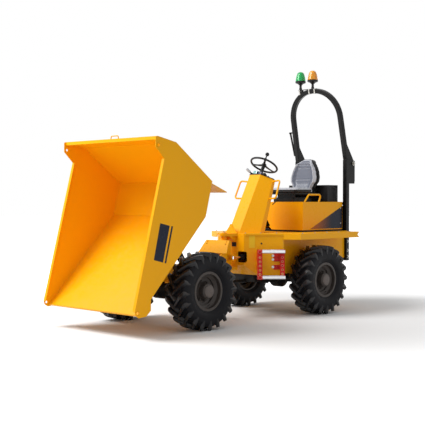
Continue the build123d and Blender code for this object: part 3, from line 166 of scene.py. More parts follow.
class Shape:
    """Points and faces of one piece, in the frame's metres."""

    def __init__(self):
        self.points, self.faces, self.finishes = [], [], []

    def face(self, indices, finish):
        """Add one face with the number of its finish."""
        self.faces.append(indices)
        self.finishes.append(finish)

    def skin(self, rings, finish=0, ends=True, loop=False):
        """Join rings of points into a surface; loop joins the last ring to the first."""
        start, count, rows = len(self.points), len(rings[0]), len(rings)
        for ring in rings:
            self.points.extend(Vector(point) for point in ring)
        for row in range(rows if loop else rows - 1):
            here, there = start + row * count, start + (row + 1) % rows * count
            for i in range(count):
                j = (i + 1) % count
                self.face((here + i, here + j, there + j, there + i), finish)
        if ends and not loop:
            self.face(tuple(range(start, start + count)), finish)
            self.face(tuple(range(start + (rows - 1) * count, start + rows * count)), finish)

    def turn(self, profile, matrix, segments=48, finish=0, loop=False):
        """Turn a profile of (radius, height) about the matrix's Z axis."""
        angles = [2 * math.pi * i / segments for i in range(segments)]
        rings = [[matrix @ polar(r, a, h) for a in angles] for r, h in profile]
        self.skin(rings, finish, ends=not loop, loop=loop)

    def slab(self, matrix, outline, low, high, edge, finish=0):
        """Plate between two heights with softened edges."""
        inner = shrink(outline, edge)
        levels = ((inner, low), (outline, low + edge), (outline, high - edge), (inner, high))
        rings = [[matrix @ Vector((x, y, z)) for x, y in ring] for ring, z in levels]
        self.skin(rings, finish)

    def block(self, matrix, size, edge, finish=0):
        """Block with softened edges, centred on the matrix."""
        outline = round_outline(size[0], size[1], min(edge * 2, size[0] / 2.1, size[1] / 2.1), 3)
        self.slab(matrix, outline, -size[2] / 2, size[2] / 2, edge, finish)

    def bar(self, path, radius, sides=12, finish=0, loop=False):
        """Round bar along a path; radius is a number or one number for each point."""
        path = [Vector(point) for point in path]
        count = len(path)
        radii = radius if isinstance(radius, (list, tuple)) else [radius] * count
        side = None
        rings = []
        for i, point in enumerate(path):
            before = path[i - 1] if i or loop else path[0]
            after = path[(i + 1) % count] if i < count - 1 or loop else path[-1]
            ahead = (after - before).normalized()
            if side is None:
                side = ahead.orthogonal()
            side = (side - ahead * side.dot(ahead)).normalized()
            other = ahead.cross(side)
            turns = [2 * math.pi * k / sides for k in range(sides)]
            rings.append([point + (side * math.cos(a) + other * math.sin(a)) * radii[i] for a in turns])
        self.skin(rings, finish, ends=not loop, loop=loop)

    def bolt(self, matrix, across, finish=0):
        """Hexagon head on its washer."""
        washer = across * 0.13
        self.turn([(0.0005, 0), (across * 0.98, 0), (across * 0.98, washer), (0.0005, washer)], matrix, 20, finish)
        head = arc((0, 0), across / math.sqrt(3), 0, 300, 5)
        self.slab(matrix, head, washer, washer + across * 0.62, across * 0.07, finish)


def coat(mesh, finishes):
    """Give the mesh its named finishes. Faces get their numbers after this, because clearing resets them."""
    mesh.materials.clear()
    for name in finishes.split():
        mesh.materials.append(FINISHES[name])


def place(shape, name, body, finishes, stands_for=(), sharp=36.0):
    """Make the shape an object that rides on a body; edges over sharp degrees stay sharp."""
    mesh = bpy.data.meshes.new(name)
    mesh.from_pydata([tuple(point) for point in shape.points], [], shape.faces)
    coat(mesh, finishes)
    mesh.polygons.foreach_set("material_index", shape.finishes)
    build = bmesh.new()
    build.from_mesh(mesh)
    bmesh.ops.remove_doubles(build, verts=build.verts, dist=1e-5)
    bmesh.ops.recalc_face_normals(build, faces=build.faces)
    build.to_mesh(mesh)
    build.free()
    mesh.shade_smooth()
    mesh.set_sharp_from_angle(angle=math.radians(sharp))
    piece = bpy.data.objects.new(name, mesh)
    bpy.context.scene.collection.objects.link(piece)
    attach(piece, body)
    if stands_for:
        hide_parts(*stands_for)
    return piece


# --- shader groups
def new_group(name, inputs, outputs):
    """Empty node group with named sockets."""
    tree = bpy.data.node_groups.new(name, "ShaderNodeTree")
    for label, kind, value in inputs:
        socket = tree.interface.new_socket(label, in_out="INPUT", socket_type="NodeSocket" + kind)
        socket.default_value = value
    for label, kind in outputs:
        tree.interface.new_socket(label, in_out="OUTPUT", socket_type="NodeSocket" + kind)
    return tree, tree.nodes.new("NodeGroupInput"), tree.nodes.new("NodeGroupOutput")


def feed(tree, socket, value):
    """Link another node's output to a socket, or set its value."""
    if isinstance(value, bpy.types.NodeSocket):
        tree.links.new(value, socket)
    else:
        socket.default_value = value


def node(tree, kind, settings=None, **links):
    """Node with settings and inputs; _0 means the first input, for inputs that share a name."""
    made = tree.nodes.new("ShaderNode" + kind)
    for key, value in (settings or {}).items():
        setattr(made, key, value)
    for key, value in links.items():
        feed(tree, made.inputs[int(key[1:]) if key[0] == "_" else key.replace("_", " ")], value)
    return made


def ranged(tree, value, low, high, to_low=0.0, to_high=1.0):
    """Value mapped smoothly from one range to another."""
    return node(tree, "MapRange", {"interpolation_type": "SMOOTHSTEP"}, Value=value, From_Min=low, From_Max=high,
                To_Min=to_low, To_Max=to_high).outputs["Result"]


def math_node(tree, operation, a, b=0.0):
    """Result of a Math node."""
    return node(tree, "Math", {"operation": operation}, _0=a, _1=b).outputs[0]


def blend_colour(tree, amount, a, b):
    """Colour between a and b."""
    return node(tree, "Mix", {"data_type": "RGBA"}, _0=amount, _6=a, _7=b).outputs[2]


def build_dust_group():
    """Colour drift, thin dust on upward faces, and a patch mask for roughness."""
    tree, given, out = new_group(
        "dust_and_drift",
        [("Colour", "Color", (0.8, 0.8, 0.8, 1)), ("Dust Colour", "Color", (0.4, 0.34, 0.26, 1)),
         ("Dust", "Float", 0.1), ("Drift", "Float", 0.05)],
        [("Colour", "Color"), ("Patches", "Float")])
    place_in = node(tree, "TexCoord")
    broad = node(tree, "TexNoise", Vector=place_in.outputs["Object"], Scale=2.3, Detail=3.0)
    fine = node(tree, "TexNoise", Vector=place_in.outputs["Object"], Scale=17.0, Detail=7.0, Roughness=0.62)
    up = node(tree, "SeparateXYZ", Vector=place_in.outputs["Normal"])
    lying = ranged(tree, up.outputs["Z"], 0.1, 1.0, 0.25, 1.0)
    speckle = ranged(tree, fine.outputs["Fac"], 0.42, 0.75)
    dusty = math_node(tree, "MULTIPLY", math_node(tree, "MULTIPLY", lying, speckle), given.outputs["Dust"])
    drift = math_node(tree, "MULTIPLY", math_node(tree, "SUBTRACT", broad.outputs["Fac"], 0.5), given.outputs["Drift"])
    shade = node(tree, "HueSaturation", Color=given.outputs["Colour"], Value=math_node(tree, "ADD", drift, 1.0))
    mixed = blend_colour(tree, dusty, shade.outputs["Color"], given.outputs["Dust Colour"])
    tree.links.new(mixed, out.inputs["Colour"])
    tree.links.new(ranged(tree, fine.outputs["Fac"], 0.25, 0.75), out.inputs["Patches"])


def build_edge_group():
    """Rounded edge normal, and another colour on the edges: rubbed paint on the dark finishes, a painted highlight on
    the yellow paints.
    """
    tree, given, out = new_group(
        "edge_wear_and_highlight",
        [("Colour", "Color", (0.8, 0.8, 0.8, 1)), ("Bare Colour", "Color", (0.3, 0.3, 0.3, 1)),
         ("Wear", "Float", 0.3), ("Radius", "Float", 0.003)],
        [("Colour", "Color"), ("Normal", "Vector")])
    rounded = node(tree, "Bevel", {"samples": 4}, Radius=given.outputs["Radius"])
    true = node(tree, "NewGeometry")
    same = node(tree, "VectorMath", {"operation": "DOT_PRODUCT"}, _0=rounded.outputs[0], _1=true.outputs["Normal"])
    edge = ranged(tree, same.outputs["Value"], 0.985, 0.86)
    place_in = node(tree, "TexCoord")
    edge_breakup = node(tree, "TexNoise", Vector=place_in.outputs["Object"], Scale=34.0, Detail=6.0, Roughness=0.7)
    # edges broken up by noise get the edge colour: rubbed paint, and on the yellow paints a painted highlight
    edge_mark = math_node(tree, "MULTIPLY", edge, ranged(tree, edge_breakup.outputs["Fac"], 0.5, 0.62))
    edge_mark = math_node(tree, "MULTIPLY", edge_mark, given.outputs["Wear"])
    mixed = blend_colour(tree, edge_mark, given.outputs["Colour"], given.outputs["Bare Colour"])
    tree.links.new(mixed, out.inputs["Colour"])
    tree.links.new(rounded.outputs[0], out.inputs["Normal"])


def build_grain_groups():
    """Small reliefs: sprayed paint, moulded hide, cast skin, brushed metal and treadplate."""
    for name in ("sprayed", "hide", "cast", "brushed", "treadplate"):
        tree, given, out = new_group(name, [("Scale", "Float", 200.0)], [("Height", "Float")])
        place_in = node(tree, "TexCoord").outputs["Object"]
        size = given.outputs["Scale"]
        if name == "sprayed":
            height = node(tree, "TexNoise", Vector=place_in, Scale=size, Detail=2.0).outputs["Fac"]
        elif name == "cast":
            height = node(tree, "TexNoise", Vector=place_in, Scale=size, Detail=8.0, Roughness=0.7).outputs["Fac"]
        elif name == "hide":
            cells = node(tree, "TexVoronoi", {"feature": "DISTANCE_TO_EDGE"}, Vector=place_in, Scale=size)
            crease = ranged(tree, cells.outputs["Distance"], 0.0, 0.22)
            soft = node(tree, "TexNoise", Vector=place_in, Scale=60.0, Detail=4.0).outputs["Fac"]
            height = math_node(tree, "ADD", crease, soft)
        elif name == "brushed":
            pulled = node(tree, "VectorMath", {"operation": "MULTIPLY"}, _0=place_in, _1=(0.05, 1.0, 1.0))
            height = node(tree, "TexNoise", Vector=pulled.outputs[0], Scale=size, Detail=5.0).outputs["Fac"]
        else:
            parts = node(tree, "SeparateXYZ", Vector=node(
                tree, "VectorMath", {"operation": "SCALE"}, _0=place_in, _3=size).outputs[0])
            across = math_node(tree, "ADD", parts.outputs["X"], parts.outputs["Y"])
            down = math_node(tree, "SUBTRACT", parts.outputs["X"], parts.outputs["Y"])
            lugs = []
            for pair, shift in (((across, down), 0.0), ((down, across), math.pi / 2)):
                waves = [math_node(tree, "MULTIPLY", way, math.pi) for way in pair]
                waves = [math_node(tree, "SINE", math_node(tree, "ADD", wave, shift)) for wave in waves]
                narrow, long = [math_node(tree, "ABSOLUTE", wave) for wave in waves]
                narrow = math_node(tree, "POWER", narrow, 12.0)
                lugs.append(math_node(tree, "MULTIPLY", narrow, ranged(tree, long, 0.45, 0.8)))
            raised = math_node(tree, "MAXIMUM", lugs[0], lugs[1])
            level = node(tree, "SeparateXYZ", Vector=node(tree, "TexCoord").outputs["Normal"]).outputs["Z"]
            height = math_node(tree, "MULTIPLY", raised, ranged(tree, level, 0.9, 0.99))
        tree.links.new(height, out.inputs["Height"])


def use_group(tree, name, **links):
    """Place a shared group in a material."""
    return node(tree, "Group", {"node_tree": bpy.data.node_groups[name]}, **links)


def rgba(colour):
    """Colour with full opacity."""
    return (colour[0], colour[1], colour[2], 1.0)


FINISHES = {}


def finish(name, colour, rough, metallic=0.0, clear=0.0, grain="sprayed", grain_scale=260.0, relief=0.04,
           dust=0.05, dust_colour=(0.36, 0.30, 0.22), drift=0.05, wear=0.0, bare=(0.22, 0.21, 0.20),
           edge=0.0025, spread=0.10, specular=0.5, transmission=0.0, fade=None):
    """One finish: colour with drift, dust and an edge colour, uneven gloss and a fine relief.

    dust, drift and wear are amounts, bare goes on the edges: rubbed paint on most finishes and a
    painted highlight on the yellow paints. edge is the radius of rounded edges, spread is how much the gloss varies,
    and fade is another colour with the two X places between which the finish turns into it.
    """
    material = bpy.data.materials.new(name)
    material.use_nodes = True
    tree = material.node_tree
    shader = tree.nodes["Principled BSDF"]
    for label, value in (("Metallic", metallic), ("Coat Weight", clear), ("Coat Roughness", 0.08),
                         ("Specular IOR Level", specular), ("Transmission Weight", transmission)):
        shader.inputs[label].default_value = value
    base = rgba(colour)
    if fade is not None:
        other, low, high = fade
        along = node(tree, "SeparateXYZ", Vector=node(tree, "TexCoord").outputs["Object"]).outputs["X"]
        base = blend_colour(tree, ranged(tree, along, low, high), rgba(colour), rgba(other))
    weather = use_group(tree, "dust_and_drift", Colour=base, Dust_Colour=rgba(dust_colour), Dust=dust, Drift=drift)
    coloured = weather.outputs["Colour"]
    relief_node = node(tree, "Bump", Strength=relief, Distance=0.001,
                       Height=use_group(tree, grain, Scale=grain_scale).outputs["Height"])
    # edge colour along rounded edges: rubbed paint, and on the yellow paints a painted highlight
    if edge:
        edge_mark = use_group(tree, "edge_wear_and_highlight", Colour=coloured, Bare_Colour=rgba(bare), Wear=wear, Radius=edge)
        coloured = edge_mark.outputs["Colour"]
        tree.links.new(edge_mark.outputs["Normal"], relief_node.inputs["Normal"])
    tree.links.new(coloured, shader.inputs["Base Color"])
    uneven = ranged(tree, weather.outputs["Patches"], 0.0, 1.0, max(0.02, rough - spread / 2), rough + spread / 2)
    tree.links.new(uneven, shader.inputs["Roughness"])
    tree.links.new(relief_node.outputs["Normal"], shader.inputs["Normal"])
    FINISHES[name] = material


# --- settings
def colour_setting(name, description, default):
    """Property for a colour."""
    return bpy.props.FloatVectorProperty(name=name, description=description, subtype="COLOR", default=default,
                                         min=0.0, max=1.0)


def number_setting(name, description, default, **limits):
    """Property for a number."""
    return bpy.props.FloatProperty(name=name, description=description, default=default, **limits)


def size_setting(name, description, default):
    """Property for a size in metres."""
    return number_setting(name, description, default, subtype="DISTANCE", unit="LENGTH")


class DumperPaint(bpy.types.PropertyGroup):
    """Colours of the paints, rubbers and plastics."""

    body: colour_setting("Body", "Sheet metal and skip", (0.97, 0.445, 0.002))
    black: colour_setting("Black", "Roll bar, axles and cylinders", (0.0065, 0.0065, 0.007))
    wheel: colour_setting("Wheel", "Rims", (0.060, 0.049, 0.043))
    hub: colour_setting("Hub", "Hub caps", (0.120, 0.098, 0.088))
    step: colour_setting("Step", "Step uprights", (0.62, 0.016, 0.006))
    alloy: colour_setting("Alloy", "Step treads", (0.66, 0.67, 0.70))
    rubber: colour_setting("Rubber", "Tyres and seals", (0.0080, 0.0080, 0.0100))
    vinyl: colour_setting("Vinyl", "Seat cover", (0.118, 0.130, 0.172))
    plastic: colour_setting("Plastic", "Black mouldings", (0.007, 0.007, 0.008))
    decal: colour_setting("Decal", "Plain panels on the paint", (0.006, 0.010, 0.026))
    orange_peel: number_setting("Orange peel", "Relief of the sprayed paint", 0.05)
    dust: number_setting("Dust", "Dust on upward faces", 0.025, min=0, max=1)
    # on the yellow paints, the amount of painted highlight along the edges
    wear: number_setting("Edge highlight", "Pale paint painted on the edges as a highlight", 0.45, min=0, max=1)


class DumperTyres(bpy.types.PropertyGroup):
    """Tread of the tyres."""

    lugs: bpy.props.IntProperty(name="Lugs", description="Lugs on each half of the tread", default=20, min=8)
    lug_height: size_setting("Lug height", "Lug above the tread's floor", 0.034)
    lug_width: size_setting("Lug width", "Width of a lug's top at the shoulder", 0.036)
    sweep: number_setting("Sweep", "Turn of a lug from centre to shoulder", math.radians(20), subtype="ANGLE")
    nut: size_setting("Wheel nut", "Width across the flats", 0.024)


class DumperSeat(bpy.types.PropertyGroup):
    """Padding and stitching of the seat."""

    swell: size_setting("Swell", "Most that the padding may swell", 0.014)
    pressure: number_setting("Pressure", "Cloth pressure of the padding", 4.0)
    grid: size_setting("Grid", "Size of the padding's mesh", 0.006)
    channel_depth: size_setting("Channel depth", "Depth of a sewn channel", 0.005)
    channel_width: size_setting("Channel width", "Half width of a sewn channel", 0.006)


class DumperLamps(bpy.types.PropertyGroup):
    """Warning lamps on the roll bar."""

    green: colour_setting("Green lens", "Colour of the green lens", (0.0, 0.62, 0.16))
    amber: colour_setting("Amber lens", "Colour of the amber lens", (1.0, 0.50, 0.01))
    flare: size_setting("Flare", "How far the lens rim stands over its mount", 0.012)
    flutes: bpy.props.IntProperty(name="Flutes", description="Flutes round a lens", default=30, min=6)


class DumperStage(bpy.types.PropertyGroup):
    """Floor, lamp and camera."""

    floor: colour_setting("Floor", "Floor colour", (0.8, 0.8, 0.8))
    sky: number_setting("Sky", "Strength of the even light", 0.54)
    white: number_setting("White", "Floor brightness that the camera sees", 0.92)
    key: number_setting("Key", "Power of the key lamp in watts", 760.0)
    lens: number_setting("Lens", "Focal length in millimetres", 79.1)


# --- paint
class DUMPER_OT_paint(bpy.types.Operator):
    """Mix the finishes and paint the frame's own pieces"""

    bl_idname = "dumper.paint"
    bl_label = "Paint"

    def execute(self, context):
        paint = context.scene.dumper_paint
        build_dust_group()
        build_edge_group()
        build_grain_groups()
        # the yellow paints' edge colour is a pale yellow: a painted highlight along the edges, stronger on the skip
        gloss = dict(relief=paint.orange_peel, dust=paint.dust, wear=paint.wear, specular=0.15,
                     bare=(1.0, 0.60, 0.07), edge=0.004)
        finish("body_paint", paint.body, 0.30, **gloss)
        finish("deck_paint", paint.body, 0.34, grain="treadplate", grain_scale=26.0,
               **gloss | {"relief": 0.9, "dust": 0.12})
        finish("skip_paint", paint.body, 0.33, **gloss | {"dust": 0.08, "wear": 0.6})
        finish("black_paint", paint.black, 0.28, dust=0.03, wear=0.12, relief=0.05, specular=0.15,
               bare=(0.10, 0.08, 0.07))
        finish("axle_paint", paint.black, 0.55, grain="cast", grain_scale=90.0, relief=0.35, dust=0.12, wear=0.15,
               specular=0.2)
        finish("wheel_paint", paint.wheel, 0.38, dust=0.10, wear=0.15, dust_colour=(0.10, 0.08, 0.065), specular=0.25)
        finish("hub_paint", paint.hub, 0.48, grain="cast", grain_scale=120.0, relief=0.2, dust=0.1, specular=0.3)
        finish("step_paint", paint.step, 0.33, specular=0.2, dust=0.05, wear=0.35, edge=0.0015)
        finish("alloy_tread", paint.alloy, 0.34, metallic=1.0, grain="brushed", grain_scale=420.0, relief=0.25,
               dust=0.06, edge=0.002)
        finish("zinc", (0.42, 0.41, 0.38), 0.34, metallic=1.0, grain="sprayed", grain_scale=500.0, dust=0.1, edge=0.0)
        finish("chrome", (0.80, 0.81, 0.83), 0.08, metallic=1.0, grain="brushed", grain_scale=900.0, relief=0.02,
               dust=0.0, drift=0.02, edge=0.001, spread=0.04)
        finish("cast_iron", (0.060, 0.058, 0.056), 0.6, grain="cast", grain_scale=80.0, relief=0.5, dust=0.2)
        finish("tread_rubber", paint.rubber, 0.36, grain="cast", grain_scale=160.0, relief=0.22, dust=0.45,
               dust_colour=(0.120, 0.080, 0.052), edge=0.0, spread=0.16, specular=0.30)
        finish("carcass_rubber", paint.rubber, 0.48, grain="cast", grain_scale=120.0, relief=0.16, dust=0.22,
               dust_colour=(0.040, 0.030, 0.024), edge=0.0, spread=0.14, specular=0.10)
        finish("seal_rubber", (0.008, 0.008, 0.008), 0.6, grain="cast", grain_scale=300.0, dust=0.04, edge=0.001,
               specular=0.2)
        finish("seat_vinyl", paint.vinyl, 0.34, grain="hide", grain_scale=520.0, relief=0.10, dust=0.0, drift=0.08,
               edge=0.0, specular=0.60)
        finish("black_vinyl", (0.009, 0.009, 0.010), 0.40, grain="hide", grain_scale=520.0, relief=0.35, edge=0.0,
               specular=0.22)
        finish("plastic", paint.plastic, 0.38, grain="hide", grain_scale=900.0, relief=0.18, dust=0.03, edge=0.0012,
               specular=0.25)
        finish("thread", (0.60, 0.61, 0.64), 0.6, grain="cast", grain_scale=1500.0, edge=0.0)
        finish("plate_pale", (0.95, 0.60, 0.03), 0.35, specular=0.1, relief=0.02, dust=0.02, edge=0.0)
        finish("plate_black", (0.007, 0.007, 0.007), 0.30, relief=0.02, edge=0.0, specular=0.2)
        finish("decal_side", paint.decal, 0.25, relief=0.02, edge=0.0, specular=0.15)
        finish("decal_fade", paint.decal, 0.25, relief=0.02, edge=0.0, specular=0.15,
               fade=((0.40, 0.12, 0.006), -1.66, -1.24))
        finish("rim_red", (0.85, 0.33, 0.27), 0.35, relief=0.03, edge=0.0)
        # painted sheen: the seat vinyl made lighter, for the cushion's top and the back's rim and head
        finish("seat_vinyl_light", tuple(0.34 + c for c in paint.vinyl), 0.36, grain="hide", grain_scale=520.0,
               relief=0.10, dust=0.0, drift=0.06, edge=0.0, specular=0.45)
        finish("display", (0.22, 0.46, 0.44), 0.12, clear=0.6, relief=0.0, edge=0.0, dust=0.0)
        finish("pod_blue", (0.055, 0.060, 0.13), 0.3, relief=0.05, edge=0.0)
        finish("grip_grey", (0.50, 0.52, 0.56), 0.4, relief=0.05, edge=0.0)
        finish("core_metal", (0.045, 0.045, 0.05), 0.5, metallic=0.6, grain="brushed", grain_scale=300.0, edge=0.0)
        worn_to = (
            ("body_paint", ("rear_chassis", "console_tower", "console_handrails", "engine_cover", "front_chassis",
                            "yoke_guard")),
            ("deck_paint", ("deck_plate",)),
            ("skip_paint", ("skip_side_left", "skip_side_right", "skip_headboard", "skip_bottom", "skip_floor",
                            "skip_underframe", "skip_heel_guard")),
            ("black_paint", ("roll_bar_posts", "roll_bar_hoop", "tail_grille", "tow_hitch", "tip_ram_barrel",
                             "steer_ram_barrel", "seat_base")),
            ("axle_paint", ("front_axle", "rear_axle", "transmission_guard")),
            ("wheel_paint", tuple("rim_" + wheel for wheel in WHEELS)),
            ("step_paint", ("step_left",)),
            ("alloy_tread", ("step_treads",)),
            ("chrome", ("tip_ram_rod", "steer_ram_rod")),
            ("cast_iron", ("engine_block",)),
            ("seal_rubber", ("cover_seal",)),
            ("plastic", ("dash_panel", "rear_air_box", "steering_column")),
        )
        for name, nodes in worn_to:
            for part in nodes:
                mesh_object = frame["nodes"][part]
                if not mesh_object.material_slots:
                    mesh_object.data.materials.append(FINISHES[name])
                for holder in mesh_object.material_slots:
                    holder.material = FINISHES[name]
        return {"FINISHED"}


# --- wheels
def tyre_profile(radius, half):
    """Carcass of a tyre as (place across, radius), from the outer bead over the tread to the inner one."""
    outer = [(0.74, 0.196), (0.76, 0.214), (0.80, 0.222), (0.84, 0.228), (0.845, 0.234), (0.885, 0.240),
             (0.935, 0.256), (0.965, 0.280), (0.975, 0.303), (0.968, 0.322), (0.972, 0.328), (0.955, 0.346),
             (0.930, radius - 0.062), (0.885, radius - 0.049), (0.78, radius - 0.040), (0.5, radius - 0.035),
             (0.2, radius - 0.034)]
    rows = [(place_across * half, r) for place_across, r in outer]
    return rows + [(-a, r) for a, r in reversed(rows)]


class DUMPER_OT_tyres(bpy.types.Operator):
    """Build the four tyres with chevron lugs"""

    bl_idname = "dumper.tyres"
    bl_label = "Tyres"

    def execute(self, context):
        settings = context.scene.dumper_tyres
        for wheel in WHEELS:
            low, high = corners("tyre_" + wheel)
            centre = (low + high) / 2
            radius, half = (high.z - low.z) / 2, (high.y - low.y) / 2
            shape = Shape()
            profile = tyre_profile(radius, half)
            profile += [(-0.68 * half, 0.196), (-0.60 * half, 0.24), (0.60 * half, 0.24), (0.68 * half, 0.196)]
            axis = stand(centre, (0, 1, 0))
            shape.turn([(r, a) for a, r in profile], axis, 120, 0, loop=True)
            for side in (1, -1):
                for lug in range(settings.lugs):
                    start = 2 * math.pi * (lug + (0.5 if side < 0 else 0.0)) / settings.lugs
                    self.lug(shape, settings, centre, radius, half, side, start)
            place(shape, "tyre_" + wheel + "_lugged", "wheel_" + wheel, "carcass_rubber tread_rubber",
                  ("tyre_" + wheel,), 34)
        return {"FINISHED"}

    def lug(self, shape, settings, centre, radius, half, side, start):
        """One lug: a swept bar from the tread's middle over the shoulder."""
        rings = []
        stations = (-0.10, 0.0, 0.22, 0.45, 0.66, 0.82, 0.93, 0.985, 1.0)
        slant = math.atan2(half, radius * settings.sweep)
        across, lean = math.cos(slant), math.sin(slant)
        limit = half - 0.0008
        for t in stations:
            axial = side * half * t
            angle = start + settings.sweep * t
            wide = mix(settings.lug_width * 0.62, settings.lug_width, smooth(0.0, 0.9, t)) / 2
            fall = 0.0 if t < 0.7 else 0.016 * ((t - 0.7) / 0.3) ** 2
            top = radius - 0.0005 - fall - (0.016 if t > 0.99 else 0.0) - (0.030 if t > 0.995 else 0.0)
            floor = radius - settings.lug_height - 0.012 - (0.06 if t > 0.9 else 0.0)
            ring = []
            for offset, height in ((-wide - 0.010, floor), (-wide - 0.0015, top - 0.005), (-wide + 0.002, top),
                                   (wide - 0.002, top), (wide + 0.0015, top - 0.005), (wide + 0.010, floor)):
                place_angle = angle + offset * lean / radius
                shift = -side * offset * across
                ring.append(centre + Vector((height * math.cos(place_angle), axial + shift,
                                             height * math.sin(place_angle))))
            for point in ring:
                point.y = min(max(point.y, centre.y - limit), centre.y + limit)
            rings.append(ring)
        shape.skin(rings, 1)


class DUMPER_OT_wheels(bpy.types.Operator):
    """Fit hub caps, wheel nuts and valves"""

    bl_idname = "dumper.wheels"
    bl_label = "Wheel fittings"

    def execute(self, context):
        nut = context.scene.dumper_tyres.nut
        for wheel in WHEELS:
            low, high = corners("rim_" + wheel)
            side = 1 if "left" in wheel else -1
            centre = pivot(wheel + "_roll")
            face = high.y if side > 0 else low.y
            cap = Shape()
            at = stand((centre.x, face, centre.z), (0, side, 0))
            cap.turn([(0.0665, -0.004), (0.0675, 0.000), (0.0670, 0.004), (0.064, 0.0065), (0.059, 0.0070),
                      (0.057, 0.0060), (0.053, 0.0060), (0.050, 0.0085), (0.020, 0.0100), (0.018, 0.0085),
                      (0.0005, 0.0085)], at, 64)
            for k in range(3):
                cap.bolt(at @ spin(30 + 120 * k) @ move(0.061, 0, 0.006), 0.007)
            place(cap, "hub_cap_" + wheel, "wheel_" + wheel, "hub_paint")
            nuts = Shape()
            for k in range(8):
                turned = stand((centre.x, centre.y + side * 0.014, centre.z), (0, side, 0))
                turned = turned @ spin(45 * k + 12) @ move(0.106, 0, 0)
                nuts.bolt(turned, nut)
                nuts.turn([(0.0075, 0.010), (0.0075, 0.026), (0.006, 0.029), (0.0005, 0.029)], turned, 14)
            stem = stand((centre.x, centre.y + side * 0.058, centre.z), (0, side, 0)) @ spin(200)
            nuts.bar([stem @ Vector((0.166, 0, 0)), stem @ Vector((0.160, 0, 0.014)), stem @ Vector((0.150, 0, 0.032))],
                     0.0045, 10)
            place(nuts, "wheel_nuts_" + wheel, "wheel_" + wheel, "wheel_paint")
        return {"FINISHED"}


# --- seat
def reshape(piece, kind, **settings):
    """Give the piece the mesh that one modifier makes."""
    modifier = piece.modifiers.new("reshape", kind)
    for key, value in settings.items():
        setattr(modifier, key, value)
    depsgraph = bpy.context.evaluated_depsgraph_get()
    mesh = bpy.data.meshes.new_from_object(piece.evaluated_get(depsgraph))
    piece.modifiers.remove(modifier)
    piece.data = mesh


def read_points(mesh, what="co"):
    """The mesh's points, or their normals, as an array."""
    values = np.empty(len(mesh.vertices) * 3, dtype=np.float32)
    mesh.vertices.foreach_get(what, values)
    return values.reshape(-1, 3).astype(float)


def write_points(mesh, points):
    """Move the mesh's points to those of an array."""
    mesh.vertices.foreach_set("co", points.astype(np.float32).ravel())
    mesh.update()


def puff(piece, pressure, most):
    """Swell the padding with cloth pressure, no point moving further than most."""
    before = read_points(piece.data)
    cloth = piece.modifiers.new("padding", "CLOTH")
    cloth.settings.use_pressure = True
    cloth.settings.uniform_pressure_force = pressure
    cloth.settings.effector_weights.gravity = 0.0
    cloth.settings.quality = 5
    cloth.point_cache.frame_start = 1
    cloth.point_cache.frame_end = 20
    scene = bpy.context.scene
    for step in range(1, 21):
        scene.frame_set(step)
    depsgraph = bpy.context.evaluated_depsgraph_get()
    after = read_points(piece.evaluated_get(depsgraph).data)
    piece.modifiers.remove(cloth)
    scene.frame_set(1)
    moved = after - before
    length = np.linalg.norm(moved, axis=1, keepdims=True)
    moved *= np.minimum(1.0, most / np.maximum(length, 1e-9))
    write_points(piece.data, before + moved)


def pad(piece, grid, pressure, most, floor=None, ceiling=None):
    """Even mesh, cloth swell, an optional clip in height, and one smooth subdivision."""
    reshape(piece, "REMESH", mode="VOXEL", voxel_size=grid)
    puff(piece, pressure, most)
    if floor is not None:
        points = read_points(piece.data)
        points[:, 2] = np.clip(points[:, 2], floor, ceiling)
        write_points(piece.data, points)
    reshape(piece, "SUBSURF", levels=1, render_levels=1)
    piece.data.shade_smooth()


def surface(mesh):
    """Tree that finds the nearest or the first point of a mesh's surface."""
    return BVHTree.FromPolygons([v.co for v in mesh.vertices], [tuple(p.vertices) for p in mesh.polygons])


def polyline(corner_points, step=0.012):
    """Evenly spaced points along straight runs."""
    points = []
    for a, b in zip(corner_points, corner_points[1:]):
        a, b = Vector(a), Vector(b)
        count = max(1, int((b - a).length / step))
        points += [a.lerp(b, i / count) for i in range(count)]
    points.append(Vector(corner_points[-1]))
    return points


def sew(piece, path, facing, depth, width):
    """Press a channel along a path into the side of the padding that faces the given way."""
    mesh = piece.data
    points = read_points(mesh)
    normals = read_points(mesh, "normal")
    facing = np.array(facing)
    path = np.array([tuple(point) for point in path])
    flat = points - np.outer(points @ facing, facing)
    track = path - np.outer(path @ facing, facing)
    nearest = np.full(len(points), 9.0)
    for a, b in zip(track, track[1:]):
        run = b - a
        t = np.clip(((flat - a) @ run) / max(run @ run, 1e-12), 0, 1)
        nearest = np.minimum(nearest, np.linalg.norm(flat - a - np.outer(t, run), axis=1))
    turned = np.clip((normals @ facing - 0.15) / 0.3, 0, 1)
    press = depth * np.exp(-(nearest / width) ** 2) * turned
    write_points(mesh, points - normals * press[:, None])


def back_width(v):
    """Half width of the seat's back at a share of its height."""
    rows = ((0.0, 0.166), (0.11, 0.160), (0.22, 0.182), (0.35, 0.217), (0.45, 0.221), (0.60, 0.206),
            (0.72, 0.184), (0.82, 0.156), (0.90, 0.124), (0.96, 0.088), (1.0, 0.045))
    for (v0, w0), (v1, w1) in zip(rows, rows[1:]):
        if v <= v1:
            return mix(w0, w1, smooth(v0, v1, v))
    return rows[-1][1]


